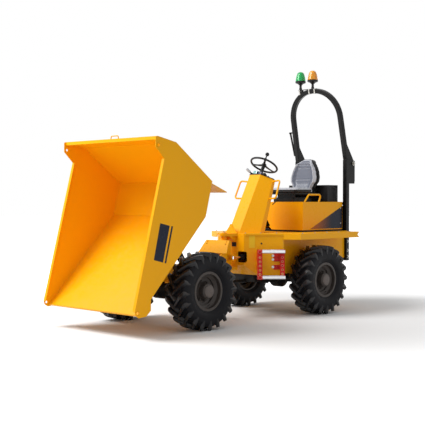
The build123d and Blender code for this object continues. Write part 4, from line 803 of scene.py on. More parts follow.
class DUMPER_OT_seat(bpy.types.Operator):
    """Upholster the seat: cushion, back, shell, bellows and brackets"""

    bl_idname = "dumper.seat"
    bl_label = "Seat"

    def execute(self, context):
        settings = context.scene.dumper_seat
        self.cushion(settings)
        self.back(settings)
        self.shell()
        self.fittings()
        return {"FINISHED"}

    def lean(self, v):
        """How far the back leans rearwards at a share of its height."""
        return -0.066 * v - 0.050 * smooth(0.80, 1.0, v) ** 2

    def section(self, v, front, rear, half, dish):
        """Closed loop of the back at one height, with bolsters at both sides."""
        low, high = corners("seat_back")
        z = mix(low.z + 0.003, high.z - 0.006, v)
        lean = self.lean(v)
        ring = []
        for k in range(56):
            angle = 2 * math.pi * k / 56
            c, s = math.cos(angle), math.sin(angle)
            y = half * math.copysign(abs(s) ** 0.62, s)
            depth = math.copysign(abs(c) ** 0.62, c)
            x = mix(rear, front, (depth + 1) / 2)
            if depth > 0:
                x += dish * (smooth(0.52, 0.88, abs(y) / half) - 0.6) * depth
            ring.append(Vector((high.x + lean + x, y, z)))
        return ring

    def back(self, settings):
        """Padded back with a sewn rim, head panel and waist, and its piping."""
        low, high = corners("seat_back")
        shape = Shape()
        rows = [k / 30 for k in range(31)]
        shape.skin([self.section(v, -0.008, -0.060, back_width(v), 0.046 * smooth(0.02, 0.3, v) * (
            1 - smooth(0.80, 1.0, v))) for v in rows])
        piece = place(shape, "seat_back_pad", "seat_and_cover", "seat_vinyl", ("seat_back",), 180)
        pad(piece, settings.grid, settings.pressure, settings.swell * 0.6)
        height = high.z - low.z
        at = lambda y, v: (0, y, low.z + v * height)
        rim = [at(s * (back_width(v) - RIM_INSET), v) for s, vs in ((1, rows[:26]), (-1, rows[25::-1])) for v in vs]
        head = [at(y, v) for y, v in ((-0.11, 0.80), (-0.075, 0.885), (0.075, 0.885), (0.11, 0.80), (0.095, 0.735),
                                      (-0.095, 0.735), (-0.11, 0.80))]
        face = (1, 0, 0)
        sew(piece, polyline(rim), face, settings.channel_depth, settings.channel_width)
        sew(piece, polyline(head), face, settings.channel_depth * 0.8, settings.channel_width * 0.8)
        waist = [at(-0.125, 0.40), at(0.125, 0.40)]
        sew(piece, polyline(waist), face, settings.channel_depth * 0.6, settings.channel_width)
        mesh = piece.data
        # the back's rim and head take the lighter vinyl, a painted sheen; its centre the plain vinyl; its rear black
        # vinyl
        coat(mesh, "seat_vinyl seat_vinyl_light black_vinyl")
        for polygon in mesh.polygons:
            v = (polygon.center.z - low.z) / height
            inside = back_width(v) - RIM_INSET - abs(polygon.center.y)
            behind = polygon.center.x < high.x + self.lean(v) + SEAM and (inside < 0 or polygon.normal.x < 0)
            polygon.material_index = 2 if behind else 0 if inside > 0 and v < 0.955 else 1
        mesh.shade_smooth()
        self.stitch(piece, [polyline(head, 0.009), polyline(rim, 0.009)], Vector((1, 0, 0)), "seat_back_stitches")
        track = [(high.x + self.lean(v) + SEAM, side * back_width(v), low.z + v * height)
                 for side, run in ((1, rows[1:]), (-1, rows[:0:-1])) for v in run]
        self.pipe(mesh, track, "seat_back_piping")

    def cushion(self, settings):
        """Padded cushion with a sewn border and two channels, and its piping."""
        low, high = corners("seat_cushion")
        middle = (low + high) / 2
        shape = Shape()
        length, width = high.x - low.x - 0.018, high.y - low.y - 0.018
        tall = high.z - low.z
        rings = []
        for share, inset in ((0.0, 0.014), (0.12, 0.003), (0.45, 0.0), (0.66, 0.006), (0.78, 0.020), (0.80, 0.07)):
            outline = round_outline(length - 2 * inset, width - 2 * inset, 0.055, 7)
            ring = []
            for x, y in outline:
                roll = -0.010 * smooth(0.05, 0.19, x) * share
                rise = 0.010 * smooth(0.12, 0.22, abs(y)) * share
                ring.append((middle.x + x, middle.y + y, low.z + 0.001 + share * tall + roll + rise))
            rings.append(ring)
        shape.skin(rings)
        piece = place(shape, "seat_cushion_pad", "seat_and_cover", "seat_vinyl black_vinyl",
                      ("seat_cushion",), 180)
        pad(piece, settings.grid, settings.pressure, settings.swell, low.z + 0.0006, high.z + 0.002)
        inner = [(middle.x + x, middle.y + y, 0) for x, y in round_outline(length - 0.10, width - 0.12, 0.05, 4)]
        sew(piece, polyline(inner + inner[:1]), (0, 0, 1), settings.channel_depth, settings.channel_width)
        for x in (-0.07, 0.03):
            run = [(middle.x + x, middle.y - 0.16, 0), (middle.x + x, middle.y + 0.16, 0)]
            sew(piece, polyline(run), (0, 0, 1), settings.channel_depth * 0.8, settings.channel_width)
        mesh = piece.data
        # the cushion's top takes the lighter vinyl, a painted sheen; its sides black vinyl
        coat(mesh, "seat_vinyl_light black_vinyl")
        edge_line = low.z + tall * 0.62
        for polygon in mesh.polygons:
            polygon.material_index = 0 if polygon.center.z > edge_line else 1
        mesh.shade_smooth()
        self.stitch(piece, [polyline(inner + inner[:1], 0.009)], Vector((0, 0, 1)), "seat_cushion_stitches")
        self.pipe(mesh, [(middle.x + x, middle.y + y, edge_line) for x, y in round_outline(
            length + 0.001, width + 0.001, 0.055, 9)], "seat_cushion_piping")

    def pipe(self, mesh, track, name):
        """Piping round a pad, laid on its nearest surface."""
        tree = surface(mesh)
        laid = []
        for point in track:
            spot, normal = tree.find_nearest(Vector(point))[:2]
            laid.append(spot + normal * 0.0008)
        piping = Shape()
        piping.bar(laid, 0.0030, 8, loop=True)
        place(piping, name, "seat_and_cover", "black_vinyl", (), 180)

    def stitch(self, piece, paths, facing, name):
        """Short threads that lie in the sewn channels."""
        tree = surface(piece.data)
        threads = Shape()
        for path in paths:
            for a, b in zip(path, path[1:]):
                ends = []
                for share in (0.15, 0.75):
                    spot = a.lerp(b, share)
                    origin = Vector((spot.x, spot.y, 3.0)) if facing.z else Vector((0.0, spot.y, spot.z))
                    hit, normal = tree.ray_cast(origin, -facing)[:2]
                    if hit is not None:
                        ends.append(hit + normal * 0.0006)
                if len(ends) == 2 and (ends[1] - ends[0]).length < 0.02:
                    threads.bar(ends, 0.0009, 5)
        if threads.points:
            place(threads, name, "seat_and_cover", "thread", (), 60)

    def shell(self):
        """Black moulded shell behind the padding."""
        shape = Shape()
        rows = [0.0, 0.02] + [k / 24 for k in range(1, 24)] + [0.985, 1.0]
        rings = []
        for v in rows:
            thin = 0.55 if v in (0.0, 1.0) else 1.0
            rings.append(self.section(v, -0.047, -0.047 - 0.061 * thin, back_width(v) + 0.006 * thin, 0.0))
        shape.skin(rings)
        place(shape, "seat_back_shell", "seat_and_cover", "plastic", (), 50)

    def fittings(self):
        """Bellows under the cushion, and the brackets of the back."""
        low, high = corners("seat_base")
        shape = Shape()
        middle = (low + high) / 2
        bottom, top = low.z + 0.046, high.z - 0.021
        rings = []
        folds = 5
        for k in range(folds * 4 + 1):
            bulge = 0.012 * (1 if k % 4 == 2 else 0.5 if k % 2 else 0.0)
            outline = round_outline(0.31 + 2 * bulge, 0.275 + 2 * bulge, 0.05, 6)
            z = mix(bottom, top, k / (folds * 4))
            rings.append([(middle.x - 0.03 + x, y, z) for x, y in outline])
        shape.skin(rings)
        place(shape, "seat_bellows", "seat_and_cover", "seal_rubber", (), 20)
        metal = Shape()
        for side in (1, -1):
            plate = stand((-1.565, side * 0.166, high.z + 0.030), (0, side, 0), (0, 0, 1))
            outline = [(-0.075, -0.045), (0.050, -0.020), (0.062, 0.010), (0.045, 0.034), (-0.070, 0.050)]
            metal.slab(plate, outline if side > 0 else [(x, -y) for x, y in reversed(outline)], -0.003, 0.003, 0.001)
            metal.bolt(plate @ move(0.020, 0.0, 0.003), 0.016)
            metal.bolt(plate @ move(-0.050, 0.0, 0.003), 0.012)
            rail = move(middle.x, side * 0.155, low.z + 0.052)
            metal.block(rail, (0.36, 0.034, 0.012), 0.002)
        place(metal, "seat_brackets", "seat_and_cover", "black_paint")


# --- controls
class DUMPER_OT_steering(bpy.types.Operator):
    """Build the steering wheel with its grips and spinner knob"""

    bl_idname = "dumper.steering"
    bl_label = "Steering wheel"

    def execute(self, context):
        joint = JOINTS["steering_wheel_turn"]
        at = stand(joint["pos_m"], joint["axis"], (0, 1, 0))
        low, high = corners("steering_wheel")
        radius = (high.y - low.y) / 2 - 0.013
        shape = Shape()
        rings = []
        for i in range(120):
            angle = 2 * math.pi * i / 120
            ring = []
            for k in range(14):
                turn = 2 * math.pi * k / 14
                grip = 0.0011 * math.sin(angle * 40) * max(0.0, -math.sin(turn))
                thick = 0.0125 + grip
                r = radius + thick * math.cos(turn)
                ring.append(at @ polar(r, angle, thick * math.sin(turn)))
            rings.append(ring)
        shape.skin(rings, 0, loop=True)
        knob_turn = math.radians(-48)
        for spoke in range(3):
            angle = knob_turn + 2 * math.pi * spoke / 3
            turned = at @ Matrix.Rotation(angle, 4, "Z")
            arms = []
            for share in (0.0, 0.12, 0.3, 0.6, 0.85, 1.0):
                x = mix(0.022, radius, share)
                wide = mix(0.021, 0.0135, smooth(0.0, 0.6, share)) + 0.004 * smooth(0.85, 1.0, share)
                lift = -0.004 - 0.005 * math.sin(math.pi * share)
                outline = round_outline(2 * wide, 0.011, 0.005, 2)
                arms.append([turned @ Vector((x, a, lift + b)) for a, b in outline])
            shape.skin(arms, 0)
        shape.turn([(0.0005, -0.018), (0.027, -0.018), (0.030, -0.012), (0.031, 0.004), (0.029, 0.013), (0.024, 0.017),
                    (0.022, 0.0165), (0.021, 0.019), (0.012, 0.0215), (0.0005, 0.022)], at, 40)
        knob = at @ Matrix.Rotation(knob_turn, 4, "Z") @ move(radius, 0, 0)
        shape.turn([(0.0005, 0.0), (0.014, 0.0), (0.014, 0.016), (0.008, 0.020), (0.008, 0.050), (0.014, 0.054),
                    (0.021, 0.060), (0.0245, 0.070), (0.0245, 0.078), (0.021, 0.088), (0.014, 0.0945),
                    (0.0005, 0.0960)], knob, 32)
        place(shape, "steering_wheel_rim", "steering_wheel", "plastic", ("steering_wheel",), 40)
        return {"FINISHED"}


class DUMPER_OT_controls(bpy.types.Operator):
    """Fit the instruments, the levers, a gaiter and the pedals"""

    bl_idname = "dumper.controls"
    bl_label = "Controls"

    def execute(self, context):
        high = corners("console_tower")[1]
        front = Vector((-0.571, 0.0, high.z))
        down = Vector((-0.146, 0.0, -0.080)).normalized()
        up = Vector((0, 1, 0)).cross(down)
        up *= math.copysign(1.0, up.z)

        def at(along, y, lift):
            return stand(front + down * along + Vector((0, y, 0)) + up * lift, up, down)

        dash = Shape()
        dash.block(at(0.020, -0.015, 0.030), (0.038, 0.075, 0.050), 0.006, 0)
        dash.block(at(0.001, -0.015, 0.034), (0.004, 0.064, 0.036), 0.0012, 1)
        dash.block(at(0.020, -0.015, 0.0558), (0.030, 0.064, 0.004), 0.001, 1)
        dash.block(at(0.022, 0.062, 0.024), (0.042, 0.060, 0.040), 0.006, 2)
        dash.block(at(0.022, 0.062, 0.0448), (0.034, 0.050, 0.003), 0.001, 0)
        dash.block(at(0.026, 0.122, 0.018), (0.036, 0.044, 0.028), 0.005, 0)
        for along, y in ((0.062, 0.125), (0.092, 0.135), (0.120, 0.128), (0.085, -0.125)):
            knob = at(along, y, 0.008)
            dash.turn([(0.013, 0.0), (0.013, 0.005), (0.009, 0.008), (0.009, 0.020), (0.006, 0.0225), (0.0005, 0.0225)],
                      knob, 24, 0)
        dash.turn([(0.030, 0.0), (0.030, 0.004), (0.025, 0.006), (0.025, 0.003), (0.0005, 0.003)],
                  at(0.115, -0.030, 0.042), 36, 0)
        dash.turn([(0.0245, 0.0), (0.0245, 0.0042), (0.0005, 0.0046)], at(0.115, -0.030, 0.042), 36, 1)
        place(dash, "instruments", "rear_frame", "plastic display pod_blue")

        lever = Shape()
        foot = Vector((-0.611, -0.066, high.z - 0.010))
        top = Vector((-0.567, -0.128, high.z + 0.066))
        way = (top - foot).normalized()
        base = stand(foot + way * 0.006, way)
        lever.turn([(0.026, 0.0), (0.026, 0.004), (0.020, 0.010), (0.022, 0.014), (0.016, 0.020), (0.018, 0.024),
                    (0.012, 0.030), (0.013, 0.034), (0.009, 0.042), (0.0075, 0.046)], base, 28, 0)
        length = (top - foot).length
        lever.turn([(0.0075, length * 0.50), (0.0145, length * 0.54), (0.016, length * 0.72), (0.0165, length * 0.96),
                    (0.015, length + 0.010), (0.009, length + 0.016), (0.0005, length + 0.017)],
                   stand(foot, way), 28, 1)
        place(lever, "direction_lever", "rear_frame", "seal_rubber grip_grey")

        brake = Shape()
        slot_foot = Vector((-0.640, high.y - 0.028, 1.345))
        knob = Vector((-0.690, high.y + 0.012, 1.408))
        brake.bar([slot_foot, slot_foot.lerp(knob, 0.5) + Vector((0, 0.004, 0)), knob], 0.006, 10)
        way = (knob - slot_foot).normalized()
        brake.turn([(0.007, -0.020), (0.013, -0.014), (0.0165, 0.004), (0.0150, 0.016), (0.009, 0.024),
                    (0.0005, 0.026)], stand(knob, way), 24)
        place(brake, "park_brake_lever", "rear_frame", "plastic")

        pedals = Shape()
        deck = corners("deck_plate")[1].z
        for y, wide in ((0.095, 0.080), (-0.105, 0.055)):
            hinge = Vector((-0.560, y, deck + 0.030))
            pad = Vector((-0.665, y, deck + 0.115))
            pedals.bar([hinge, hinge + Vector((-0.045, 0, 0.070)), pad], 0.008, 10)
            pedals.block(stand(hinge - Vector((0, 0, 0.012)), (0, 0, 1)), (0.050, 0.060, 0.036), 0.003)
            face = stand(pad + Vector((-0.006, 0, 0.004)), (-0.80, 0, 0.60), (0.6, 0, 0.8))
            pedals.block(face, (0.095, wide, 0.012), 0.003, 1)
            for k in range(7):
                rib = face @ move(-0.036 + 0.012 * k, 0, 0.008)
                pedals.block(rib, (0.005, wide - 0.012, 0.005), 0.001, 1)
        place(pedals, "pedals", "rear_frame", "black_paint seal_rubber")
        return {"FINISHED"}


# --- lamps
class DUMPER_OT_lamps(bpy.types.Operator):
    """Build the two warning lamps on the roll bar"""

    bl_idname = "dumper.lamps"
    bl_label = "Warning lamps"

    def execute(self, context):
        settings = context.scene.dumper_lamps
        for colour, value in (("green", settings.green), ("amber", settings.amber)):
            finish(colour + "_lens", value, 0.08, relief=0.02, dust=0.0, edge=0.0, drift=0.03, spread=0.04,
                   transmission=0.55)
            low, high = corners("beacon_" + colour)
            middle = (low + high) / 2
            radius, base_top = (high.y - low.y) / 2 + settings.flare, high.z - LENS_HEIGHT
            at = move(middle.x, middle.y, 0)
            base = Shape()
            base.turn([(0.0005, low.z + 0.002), (0.0195, low.z + 0.002), (0.0195, low.z + 0.022),
                       (0.0165, low.z + 0.026), (0.0160, base_top - 0.058), (0.022, base_top - 0.052),
                       (0.036, base_top - 0.038), (radius - 0.003, base_top - 0.026), (radius, base_top - 0.020),
                       (radius, base_top - 0.004), (radius - 0.003, base_top), (0.040, base_top + 0.002),
                       (0.0005, base_top + 0.002)], at, 48)
            for k in range(3):
                turned = at @ Matrix.Rotation(2 * math.pi * k / 3 + 0.6, 4, "Z")
                spot = turned @ Vector((radius - 0.001, 0, base_top - 0.012))
                base.bolt(stand(spot, turned.to_3x3() @ Vector((1, 0, 0))), 0.006)
            base.turn([(0.010, base_top + 0.001), (0.010, base_top + 0.030), (0.013, base_top + 0.032),
                       (0.013, base_top + 0.062), (0.0005, base_top + 0.066)], at, 20, 1)
            place(base, "beacon_base_" + colour, "roll_bar", "plastic zinc")
            lens = Shape()
            count = settings.flutes * 4
            rings = []
            walls = ((0.965, 0.000), (0.970, 0.008), (0.940, 0.013), (0.890, 0.040), (0.800, 0.068), (0.690, 0.093),
                     (0.560, 0.110), (0.340, 0.121), (0.010, 0.1258))
            for share, height in walls:
                ring = []
                for i in range(count):
                    angle = 2 * math.pi * i / count
                    flute = 0.0010 * (1 - (i % 4 == 2) - 0.5 * (i % 2)) if 0.012 < height < 0.11 else 0.0
                    ring.append(at @ polar(radius * share - flute, angle, base_top + height))
                rings.append(ring)
            for share, height in reversed(walls[:-1]):
                r = max(radius * share - LENS_WALL, 0.001)
                inner = base_top + max(height - LENS_WALL, 0.0)
                rings.append([at @ polar(r, 2 * math.pi * i / count, inner) for i in range(count)])
            lens.skin(rings, loop=True)
            name = colour + "_lens"
            place(lens, "beacon_lens_" + colour, "roll_bar", name, ("beacon_" + colour,), 25)
        return {"FINISHED"}


# --- body fittings
class DUMPER_OT_fasteners(bpy.types.Operator):
    """Fit bolts, the step's rims and teeth, and the roll bar's grip, straps and packers"""

    bl_idname = "dumper.fasteners"
    bl_label = "Fasteners"

    def execute(self, context):
        rows = {"rear_frame": [], "front_frame": [], "skip": [], "seat_and_cover": []}
        deck, post = corners("deck_plate")[1].z, corners("roll_bar_posts")[1].y
        hitch = corners("tow_hitch")[0].x
        cover_low, cover_high = corners("engine_cover")
        tip = pivot("skip_tip")
        fold = pivot("roll_bar_fold")
        up, rearward = (0, 0, 1), (-1, 0, 0)
        slope = Vector((0.814, 0, 0.581))   # out of the yoke guard's face
        for side in (1, -1):
            outward = (0, side, 0)
            deck_edge = [(x, 0.715) for x in (-0.62, -0.86, -1.10, -1.34, -1.58)]
            deck_nose = [(-0.20, 0.17), (-0.33, 0.30), (-0.46, 0.44)]
            yoke = ((tip.x - 0.03, 0.70), (tip.x + 0.03, 0.70), (0.12, 0.62), (0.30, 0.62))
            guard = [Vector((mix(0.098, 0.138, share), side * 0.155, mix(0.918, 0.862, share))) + slope * 0.0083
                     for share in (0.25, 0.75)]
            rows["rear_frame"] += [((POST_X, side * 0.432, z), outward, 0.019) for z in (0.66, 0.74, 0.86, 0.94)]
            rows["rear_frame"] += [((x, side * y, deck), up, 0.012) for x, y in deck_edge + deck_nose]
            rows["rear_frame"] += [((fold.x, side * post, fold.z), outward, 0.028)]
            rows["rear_frame"] += [((hitch + 0.182, side * 0.102, z), rearward, 0.018) for z in (0.665, 0.778)]
            rows["front_frame"] += [((x, side * YOKE_FACE, z), outward, 0.016) for x, z in yoke]
            rows["front_frame"] += [((x, side * 0.169, 0.4945), up, 0.018) for x in (0.975, 1.085)]   # axle pads
            rows["front_frame"] += [(spot, slope, 0.013) for spot in guard]
            rows["skip"] += [((tip.x, side * 0.189, tip.z), outward, 0.036)]
            rows["seat_and_cover"] += [((cover_low.x + 0.075, side * cover_high.y, z), outward, 0.010)
                                       for z in (1.10, 1.30)]
        for body, places in rows.items():
            shape = Shape()
            for spot, way, size in places:
                shape.bolt(stand(spot, way), size)
            painted = body == "front_frame"
            place(shape, "bolts_" + body, body, "body_paint" if painted else "zinc")
        self.step_bolts()
        self.hoop_fittings()
        return {"FINISHED"}

    def step_bolts(self):
        """Bolts of the step's brackets and tread ends, and pressed rims round its holes."""
        high = corners("step_left")[1]
        step = Matrix.Translation(STEP_PLACE) @ spin(45)
        out = (step.to_3x3() @ Vector((1, 0, STEP_RAKE))).normalized()

        def upright(ahead, y, z):
            return step @ Vector((STEP_FACE + ahead + STEP_RAKE * (high.z - z), y, z))

        shape = Shape()
        for z in (0.735, 0.690, 0.600):
            shape.bolt(stand(step @ Vector((0.006, 0.080, z)), step.to_3x3() @ Vector((1, 0, 0))), 0.019, 0)
            shape.bolt(stand(step @ Vector((0.006, 0.030, z)), step.to_3x3() @ Vector((1, 0, 0))), 0.016, 1)
        for z in (0.790, 0.487):
            spot = stand(upright(0.082, -0.136, z), out)
            shape.turn([(0.0005, 0.0), (0.023, 0.0), (0.0225, 0.003), (0.018, 0.0045), (0.0005, 0.0045)], spot, 28, 2)
            shape.bolt(spot @ move(0, 0, 0.0045), 0.020, 0)
        for ahead, y in ((0.082, -0.136), (0.0, 0.136)):
            for k in range(5):
                spot = stand(upright(ahead, y, 0.524 + 0.049 * k), out)
                shape.turn([(0.0102, -0.001), (0.0105, 0.0035), (0.0122, 0.0040), (0.0150, 0.0012), (0.0155, -0.001)],
                           spot, 28, 2, loop=True)
        place(shape, "step_bolts", "rear_frame", "step_paint zinc rim_red")
        teeth = Shape()
        for z in (0.810, 0.506):
            x = STEP_FACE + STEP_RAKE * (high.z - z) + 0.036
            for k in range(24):
                for row in (-0.024, -0.008, 0.008, 0.024):
                    spot = step @ Vector((x + row, -0.148 + 0.0125 * k + (0.006 if row in (-0.008, 0.024) else 0.0), z))
                    teeth.turn([(0.0042, -0.0005), (0.0034, 0.0022), (0.0016, 0.0024), (0.0012, 0.0)],
                               stand(spot, (0, 0, 1)), 8)
        place(teeth, "step_teeth", "rear_frame", "alloy_tread")

    def hoop_fittings(self):
        """Rubber grip on the pull handle, straps on the crown, and packers between the posts and the hoop."""
        upward = Vector((math.sin(HOOP_LEAN), 0, math.cos(HOOP_LEAN)))

        def along_hoop(reach, y):
            return Vector((POST_X, y, HOOP_FOOT)) + upward * reach

        grip = Shape()
        path, radii = [], []
        for k in range(41):
            t = k / 40
            path.append(along_hoop(*(mix(low, high, t) for low, high in zip(HANDLE_LOW, HANDLE_HIGH))))
            radii.append(0.0108 if k in (0, 40) else 0.0122 + 0.0008 * (k % 2))
        grip.bar(path, radii, 16)
        grip.turn([(0.0005, 0.0), (0.017, 0.0), (0.019, 0.004), (0.019, 0.016), (0.015, 0.021), (0.0005, 0.021)],
                  stand(along_hoop(HANDLE_HIGH[0] - 0.008, HANDLE_HIGH[1]), upward), 24)
        crown = corners("beacon_green")[0]
        for y in (crown.y + 0.058, -0.045, 0.045):
            strap = stand(along_hoop(HOOP_CROWN - HOOP_TUBE, y), (0, 1, 0), upward)
            outline = round_outline(0.070, 0.070, 0.010, 3)
            grip.slab(strap, outline, -0.009, 0.009, 0.0015, 1)
            grip.bolt(stand(strap @ Vector((0, -0.035, 0)), strap.to_3x3() @ Vector((0, -1, 0))), 0.009, 1)
        place(grip, "hoop_grip", "roll_bar", "seal_rubber zinc")
        packers = Shape()
        wedge = [(-1.958, 1.9352), (-1.902, 1.9352), (-1.902, 1.9440), (-1.958, 1.9555)]
        for low, high in ((-0.430, -0.374), (0.374, 0.430)):
            packers.slab(UPRIGHT, wedge, low, high, 0.001)
        place(packers, "hoop_packers", "rear_frame", "seal_rubber")


class DUMPER_OT_plates(bpy.types.Operator):
    """Fix the blank plates and plain panels"""

    bl_idname = "dumper.plates"
    bl_label = "Blank plates"

    def execute(self, context):
        def on_facet(run, z):
            return stand((FACET_X - run * DIAGONAL, FACET_Y + run * DIAGONAL, z), (DIAGONAL, DIAGONAL, 0), (0, 0, 1))

        label = Shape()
        label.slab(on_facet(0.097, 0.902), round_outline(0.150, 0.072, 0.006, 3), 0.0002, 0.0014, 0.0004)
        place(label, "facet_plate", "rear_frame", "plate_pale")
        nose = stand((FACET_X, 0.054, 0.867), (1, 0, 0), (0, 0, 1))
        black = Shape()
        black.slab(nose, round_outline(0.052, 0.070, 0.005, 3), 0.0002, 0.0022, 0.0005)
        black.turn([(0.011, 0.0002), (0.011, 0.0025), (0.008, 0.0035), (0.0005, 0.0035)], on_facet(0.211, 0.881), 20)
        place(black, "nose_plate", "rear_frame", "plate_black")
        cover_low, cover_high = corners("engine_cover")
        skip_low, skip_high = corners("skip_side_left")
        for side, name in ((1, "left"), (-1, "right")):
            panel = Shape()
            face = move(0, side * cover_high.y, 0) @ UPRIGHT
            rear, front, foot = cover_low.x + 0.042, cover_high.x - 0.155, cover_low.z + 0.012
            outline = [(rear, foot), (front, foot), (front - 0.010, foot + 0.008), (rear + 0.004, foot + 0.288),
                       (rear - 0.001, foot + 0.284)]
            low, high = (0.0002, 0.0008) if side < 0 else (-0.0008, -0.0002)
            panel.slab(face, outline, low, high, 0.0002)
            place(panel, "cover_panel_" + name, "seat_and_cover", "decal_fade")
            mark = Shape()
            face = move(0, side * skip_high.y, 0) @ UPRIGHT
            mouth, lip = skip_high.x, skip_low.z
            for plate in (((0.380, 0.540), (0.253, 0.571), (0.341, 0.942), (0.474, 0.913)),
                          ((0.423, 0.529), (0.401, 0.535), (0.498, 0.910), (0.520, 0.905))):
                mark.slab(face, [(mouth - x, lip + z) for x, z in plate], low, high, 0.0002)
            place(mark, "skip_panel_" + name, "skip", "decal_side")
        return {"FINISHED"}


class DUMPER_OT_body(bpy.types.Operator):
    """Add the radiator core, louvres, weld beads and eye rings"""

    bl_idname = "dumper.body"
    bl_label = "Body details"

    def execute(self, context):
        low, high = corners("tail_grille")
        core = Shape()
        x = low.x + 0.030
        core.block(stand((x, 0, (low.z + high.z) / 2), (1, 0, 0), (0, 0, 1)),
                   (high.z - low.z - 0.06, high.y - low.y - 0.05, 0.012), 0.002)
        for k in range(46):
            z = mix(low.z + 0.05, high.z - 0.05, k / 45)
            core.block(stand((x - 0.0085, 0, z), (1, 0, 0), (0, 1, 0)), (high.y - low.y - 0.06, 0.0030, 0.006), 0.0008)
        place(core, "radiator_core", "rear_frame", "core_metal")

        low, high = corners("rear_air_box")
        louvres = Shape()
        count = 13
        for k in range(count):
            z = mix(low.z + 0.020, high.z - 0.022, k / (count - 1))
            for side, y in ((1, high.y), (-1, low.y)):
                louvres.block(stand(((low.x + high.x) / 2, y, z), (0, side, 0.35), (1, 0, 0)),
                              (high.x - low.x - 0.030, 0.007, 0.008), 0.0015)
            louvres.block(stand((low.x, (low.y + high.y) / 2, z), (-1, 0, 0.35), (0, 1, 0)),
                          (high.y - low.y - 0.040, 0.007, 0.008), 0.0015)
        place(louvres, "air_box_louvres", "seat_and_cover", "plastic")

        floor_low, floor_high = corners("skip_floor")
        bottom_low, bottom_high = corners("skip_bottom")
        wall_high = corners("skip_headboard")[1]
        heel = Vector((floor_low.x, 0, bottom_low.z))
        apex = Vector((bottom_low.x, 0, bottom_high.z))
        lip = Vector((floor_high.x - 0.004, 0, floor_low.z + 0.012))
        top = Vector((wall_high.x - 0.266, 0, wall_high.z - 0.089))
        beads = Shape()
        for side in (1, -1):
            for a, b, lift in ((lip, heel, (0.76, 0.72)), (heel, apex, (1.0, 0.25)), (apex, top, (0.55, -0.85))):
                inward = Vector((lift[0], 0, lift[1])).normalized()
                start, end = a.lerp(b, 0.04), b.lerp(a, 0.04)
                count = max(8, int((end - start).length / 0.008))
                path, radii = [], []
                for k in range(count + 1):
                    spot = start.lerp(end, k / count) + inward * 0.0085
                    spot.y = side * (floor_high.y - 0.001)
                    path.append(spot)
                    radii.append(0.0042 + 0.0009 * (k % 2))
                beads.bar(path, radii, 8)
        place(beads, "skip_weld_beads", "skip", "skip_paint", (), 60)

        rings = Shape()
        for mount in frame["record"]["mounts"]:
            if "eye" in mount["name"]:
                spot = Vector(mount["pos_m"])
                radius = mount["dims"]["r_mm"] / 1000
                outer = 1 if spot.y > 0 else -1
                face = Vector((spot.x, outer * (corners("skip_side_left")[1].y + 0.0001), spot.z))
                rings.turn([(radius + 0.0008, 0.0), (radius + 0.0008, 0.004), (radius + 0.009, 0.005),
                            (radius + 0.011, 0.0035), (radius + 0.011, 0.0)], stand(face, (0, outer, 0)), 36, loop=True)
        place(rings, "lifting_eye_rings", "skip", "skip_paint")
        return {"FINISHED"}


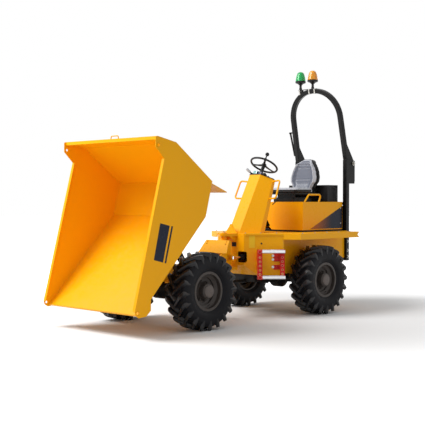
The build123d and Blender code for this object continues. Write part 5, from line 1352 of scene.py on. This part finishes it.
# --- stage
class DUMPER_OT_stage(bpy.types.Operator):
    """Lay the floor, hang the lamp and place the camera"""

    bl_idname = "dumper.stage"
    bl_label = "Studio"

    def execute(self, context):
        stage = context.scene.dumper_stage
        scene = context.scene
        scene.view_settings.view_transform = "Standard"
        mesh = bpy.data.meshes.new("floor")
        mesh.from_pydata([(x * FLOOR_REACH, y * FLOOR_REACH, 0) for x, y in ((-1, -1), (1, -1), (-1, 1), (1, 1))],
                         [], [(0, 1, 3, 2)])
        floor = bpy.data.objects.new("floor", mesh)
        scene.collection.objects.link(floor)
        material = bpy.data.materials.new("studio_floor")
        material.use_nodes = True
        tree = material.node_tree
        tree.nodes.clear()
        seen = self.background_rays(tree)
        reach_node = node(tree, "VectorMath", {"operation": "LENGTH"}, _0=node(tree, "TexCoord").outputs["Object"])
        bright = ranged(tree, reach_node.outputs["Value"], NEAR_FLOOR, FAR_FLOOR, stage.white, 1.25 / stage.sky)
        tone = blend_colour(tree, seen, rgba(stage.floor), bright)
        diffuse = node(tree, "BsdfDiffuse", Color=tone)
        node(tree, "OutputMaterial", Surface=diffuse.outputs[0])
        mesh.materials.append(material)
        world = bpy.data.worlds.new("studio")
        world.use_nodes = True
        tree = world.node_tree
        tree.nodes.clear()
        strength = ranged(tree, self.background_rays(tree), 0.0, 1.0, stage.sky, 1.0)
        background = node(tree, "Background", Color=(1, 1, 1, 1), Strength=strength)
        node(tree, "OutputWorld", Surface=background.outputs[0])
        scene.world = world
        self.lamp(scene, "key", KEY_AT, KEY_SIZE, stage.key)
        camera = bpy.data.objects.new("camera", bpy.data.cameras.new("camera"))
        camera.data.lens = stage.lens
        camera.data.sensor_width = 36
        forward = Vector((math.cos(YAW) * math.cos(PITCH), math.sin(YAW) * math.cos(PITCH), -math.sin(PITCH)))
        turn = forward.to_track_quat("-Z", "Y").to_matrix().to_4x4() @ Matrix.Rotation(ROLL, 4, "Z")
        camera.matrix_world = Matrix.Translation(CAMERA_AT) @ turn
        scene.collection.objects.link(camera)
        scene.camera = camera
        return {"FINISHED"}

    def background_rays(self, tree):
        """1 for rays that show the background: the camera's, through glass and off glossy faces."""
        path = node(tree, "LightPath")
        seen = math_node(tree, "MAXIMUM", path.outputs["Is Camera Ray"], path.outputs["Is Transmission Ray"])
        return math_node(tree, "MAXIMUM", seen, path.outputs["Is Glossy Ray"])

    def lamp(self, scene, name, place_at, size, power):
        """Square area lamp that faces the machine."""
        light = bpy.data.lights.new(name, "AREA")
        light.energy = power
        light.size = size
        lamp = bpy.data.objects.new(name, light)
        lamp.location = place_at
        lamp.rotation_euler = (Vector((0, 0, 1)) - place_at).to_track_quat("-Z", "Y").to_euler()
        scene.collection.objects.link(lamp)


STEPS = ("paint", "tyres", "wheels", "seat", "steering", "controls", "lamps", "fasteners", "plates", "body", "stage")


class DUMPER_PT_panel(bpy.types.Panel):
    """Settings and steps of the dumper's finish"""

    bl_idname = "DUMPER_PT_panel"
    bl_label = "Site dumper"
    bl_space_type = "VIEW_3D"
    bl_region_type = "UI"
    bl_category = "Dumper"

    def draw(self, context):
        """List the steps, then the settings group by group."""
        for step in STEPS:
            self.layout.operator("dumper." + step)
        for name in GROUPS:
            box = self.layout.box()
            settings = getattr(context.scene, name)
            for key in settings.bl_rna.properties.keys():
                if key not in ("rna_type", "name"):
                    box.prop(settings, key)


GROUPS = {"dumper_paint": DumperPaint, "dumper_tyres": DumperTyres, "dumper_seat": DumperSeat,
          "dumper_lamps": DumperLamps, "dumper_stage": DumperStage}
CLASSES = (*GROUPS.values(), DUMPER_OT_paint, DUMPER_OT_tyres, DUMPER_OT_wheels, DUMPER_OT_seat, DUMPER_OT_steering,
           DUMPER_OT_controls, DUMPER_OT_lamps, DUMPER_OT_fasteners, DUMPER_OT_plates, DUMPER_OT_body,
           DUMPER_OT_stage, DUMPER_PT_panel)


def register():
    """Add the classes and their settings."""
    for cls in CLASSES:
        bpy.utils.register_class(cls)
    for name, cls in GROUPS.items():
        setattr(bpy.types.Scene, name, bpy.props.PointerProperty(type=cls))


def unregister():
    """Take them away again."""
    for name in GROUPS:
        delattr(bpy.types.Scene, name)
    for cls in reversed(CLASSES):
        bpy.utils.unregister_class(cls)


def main():
    """Run every step."""
    register()
    for step in STEPS:
        getattr(bpy.ops.dumper, step)()


if __name__ == "__main__":
    main()
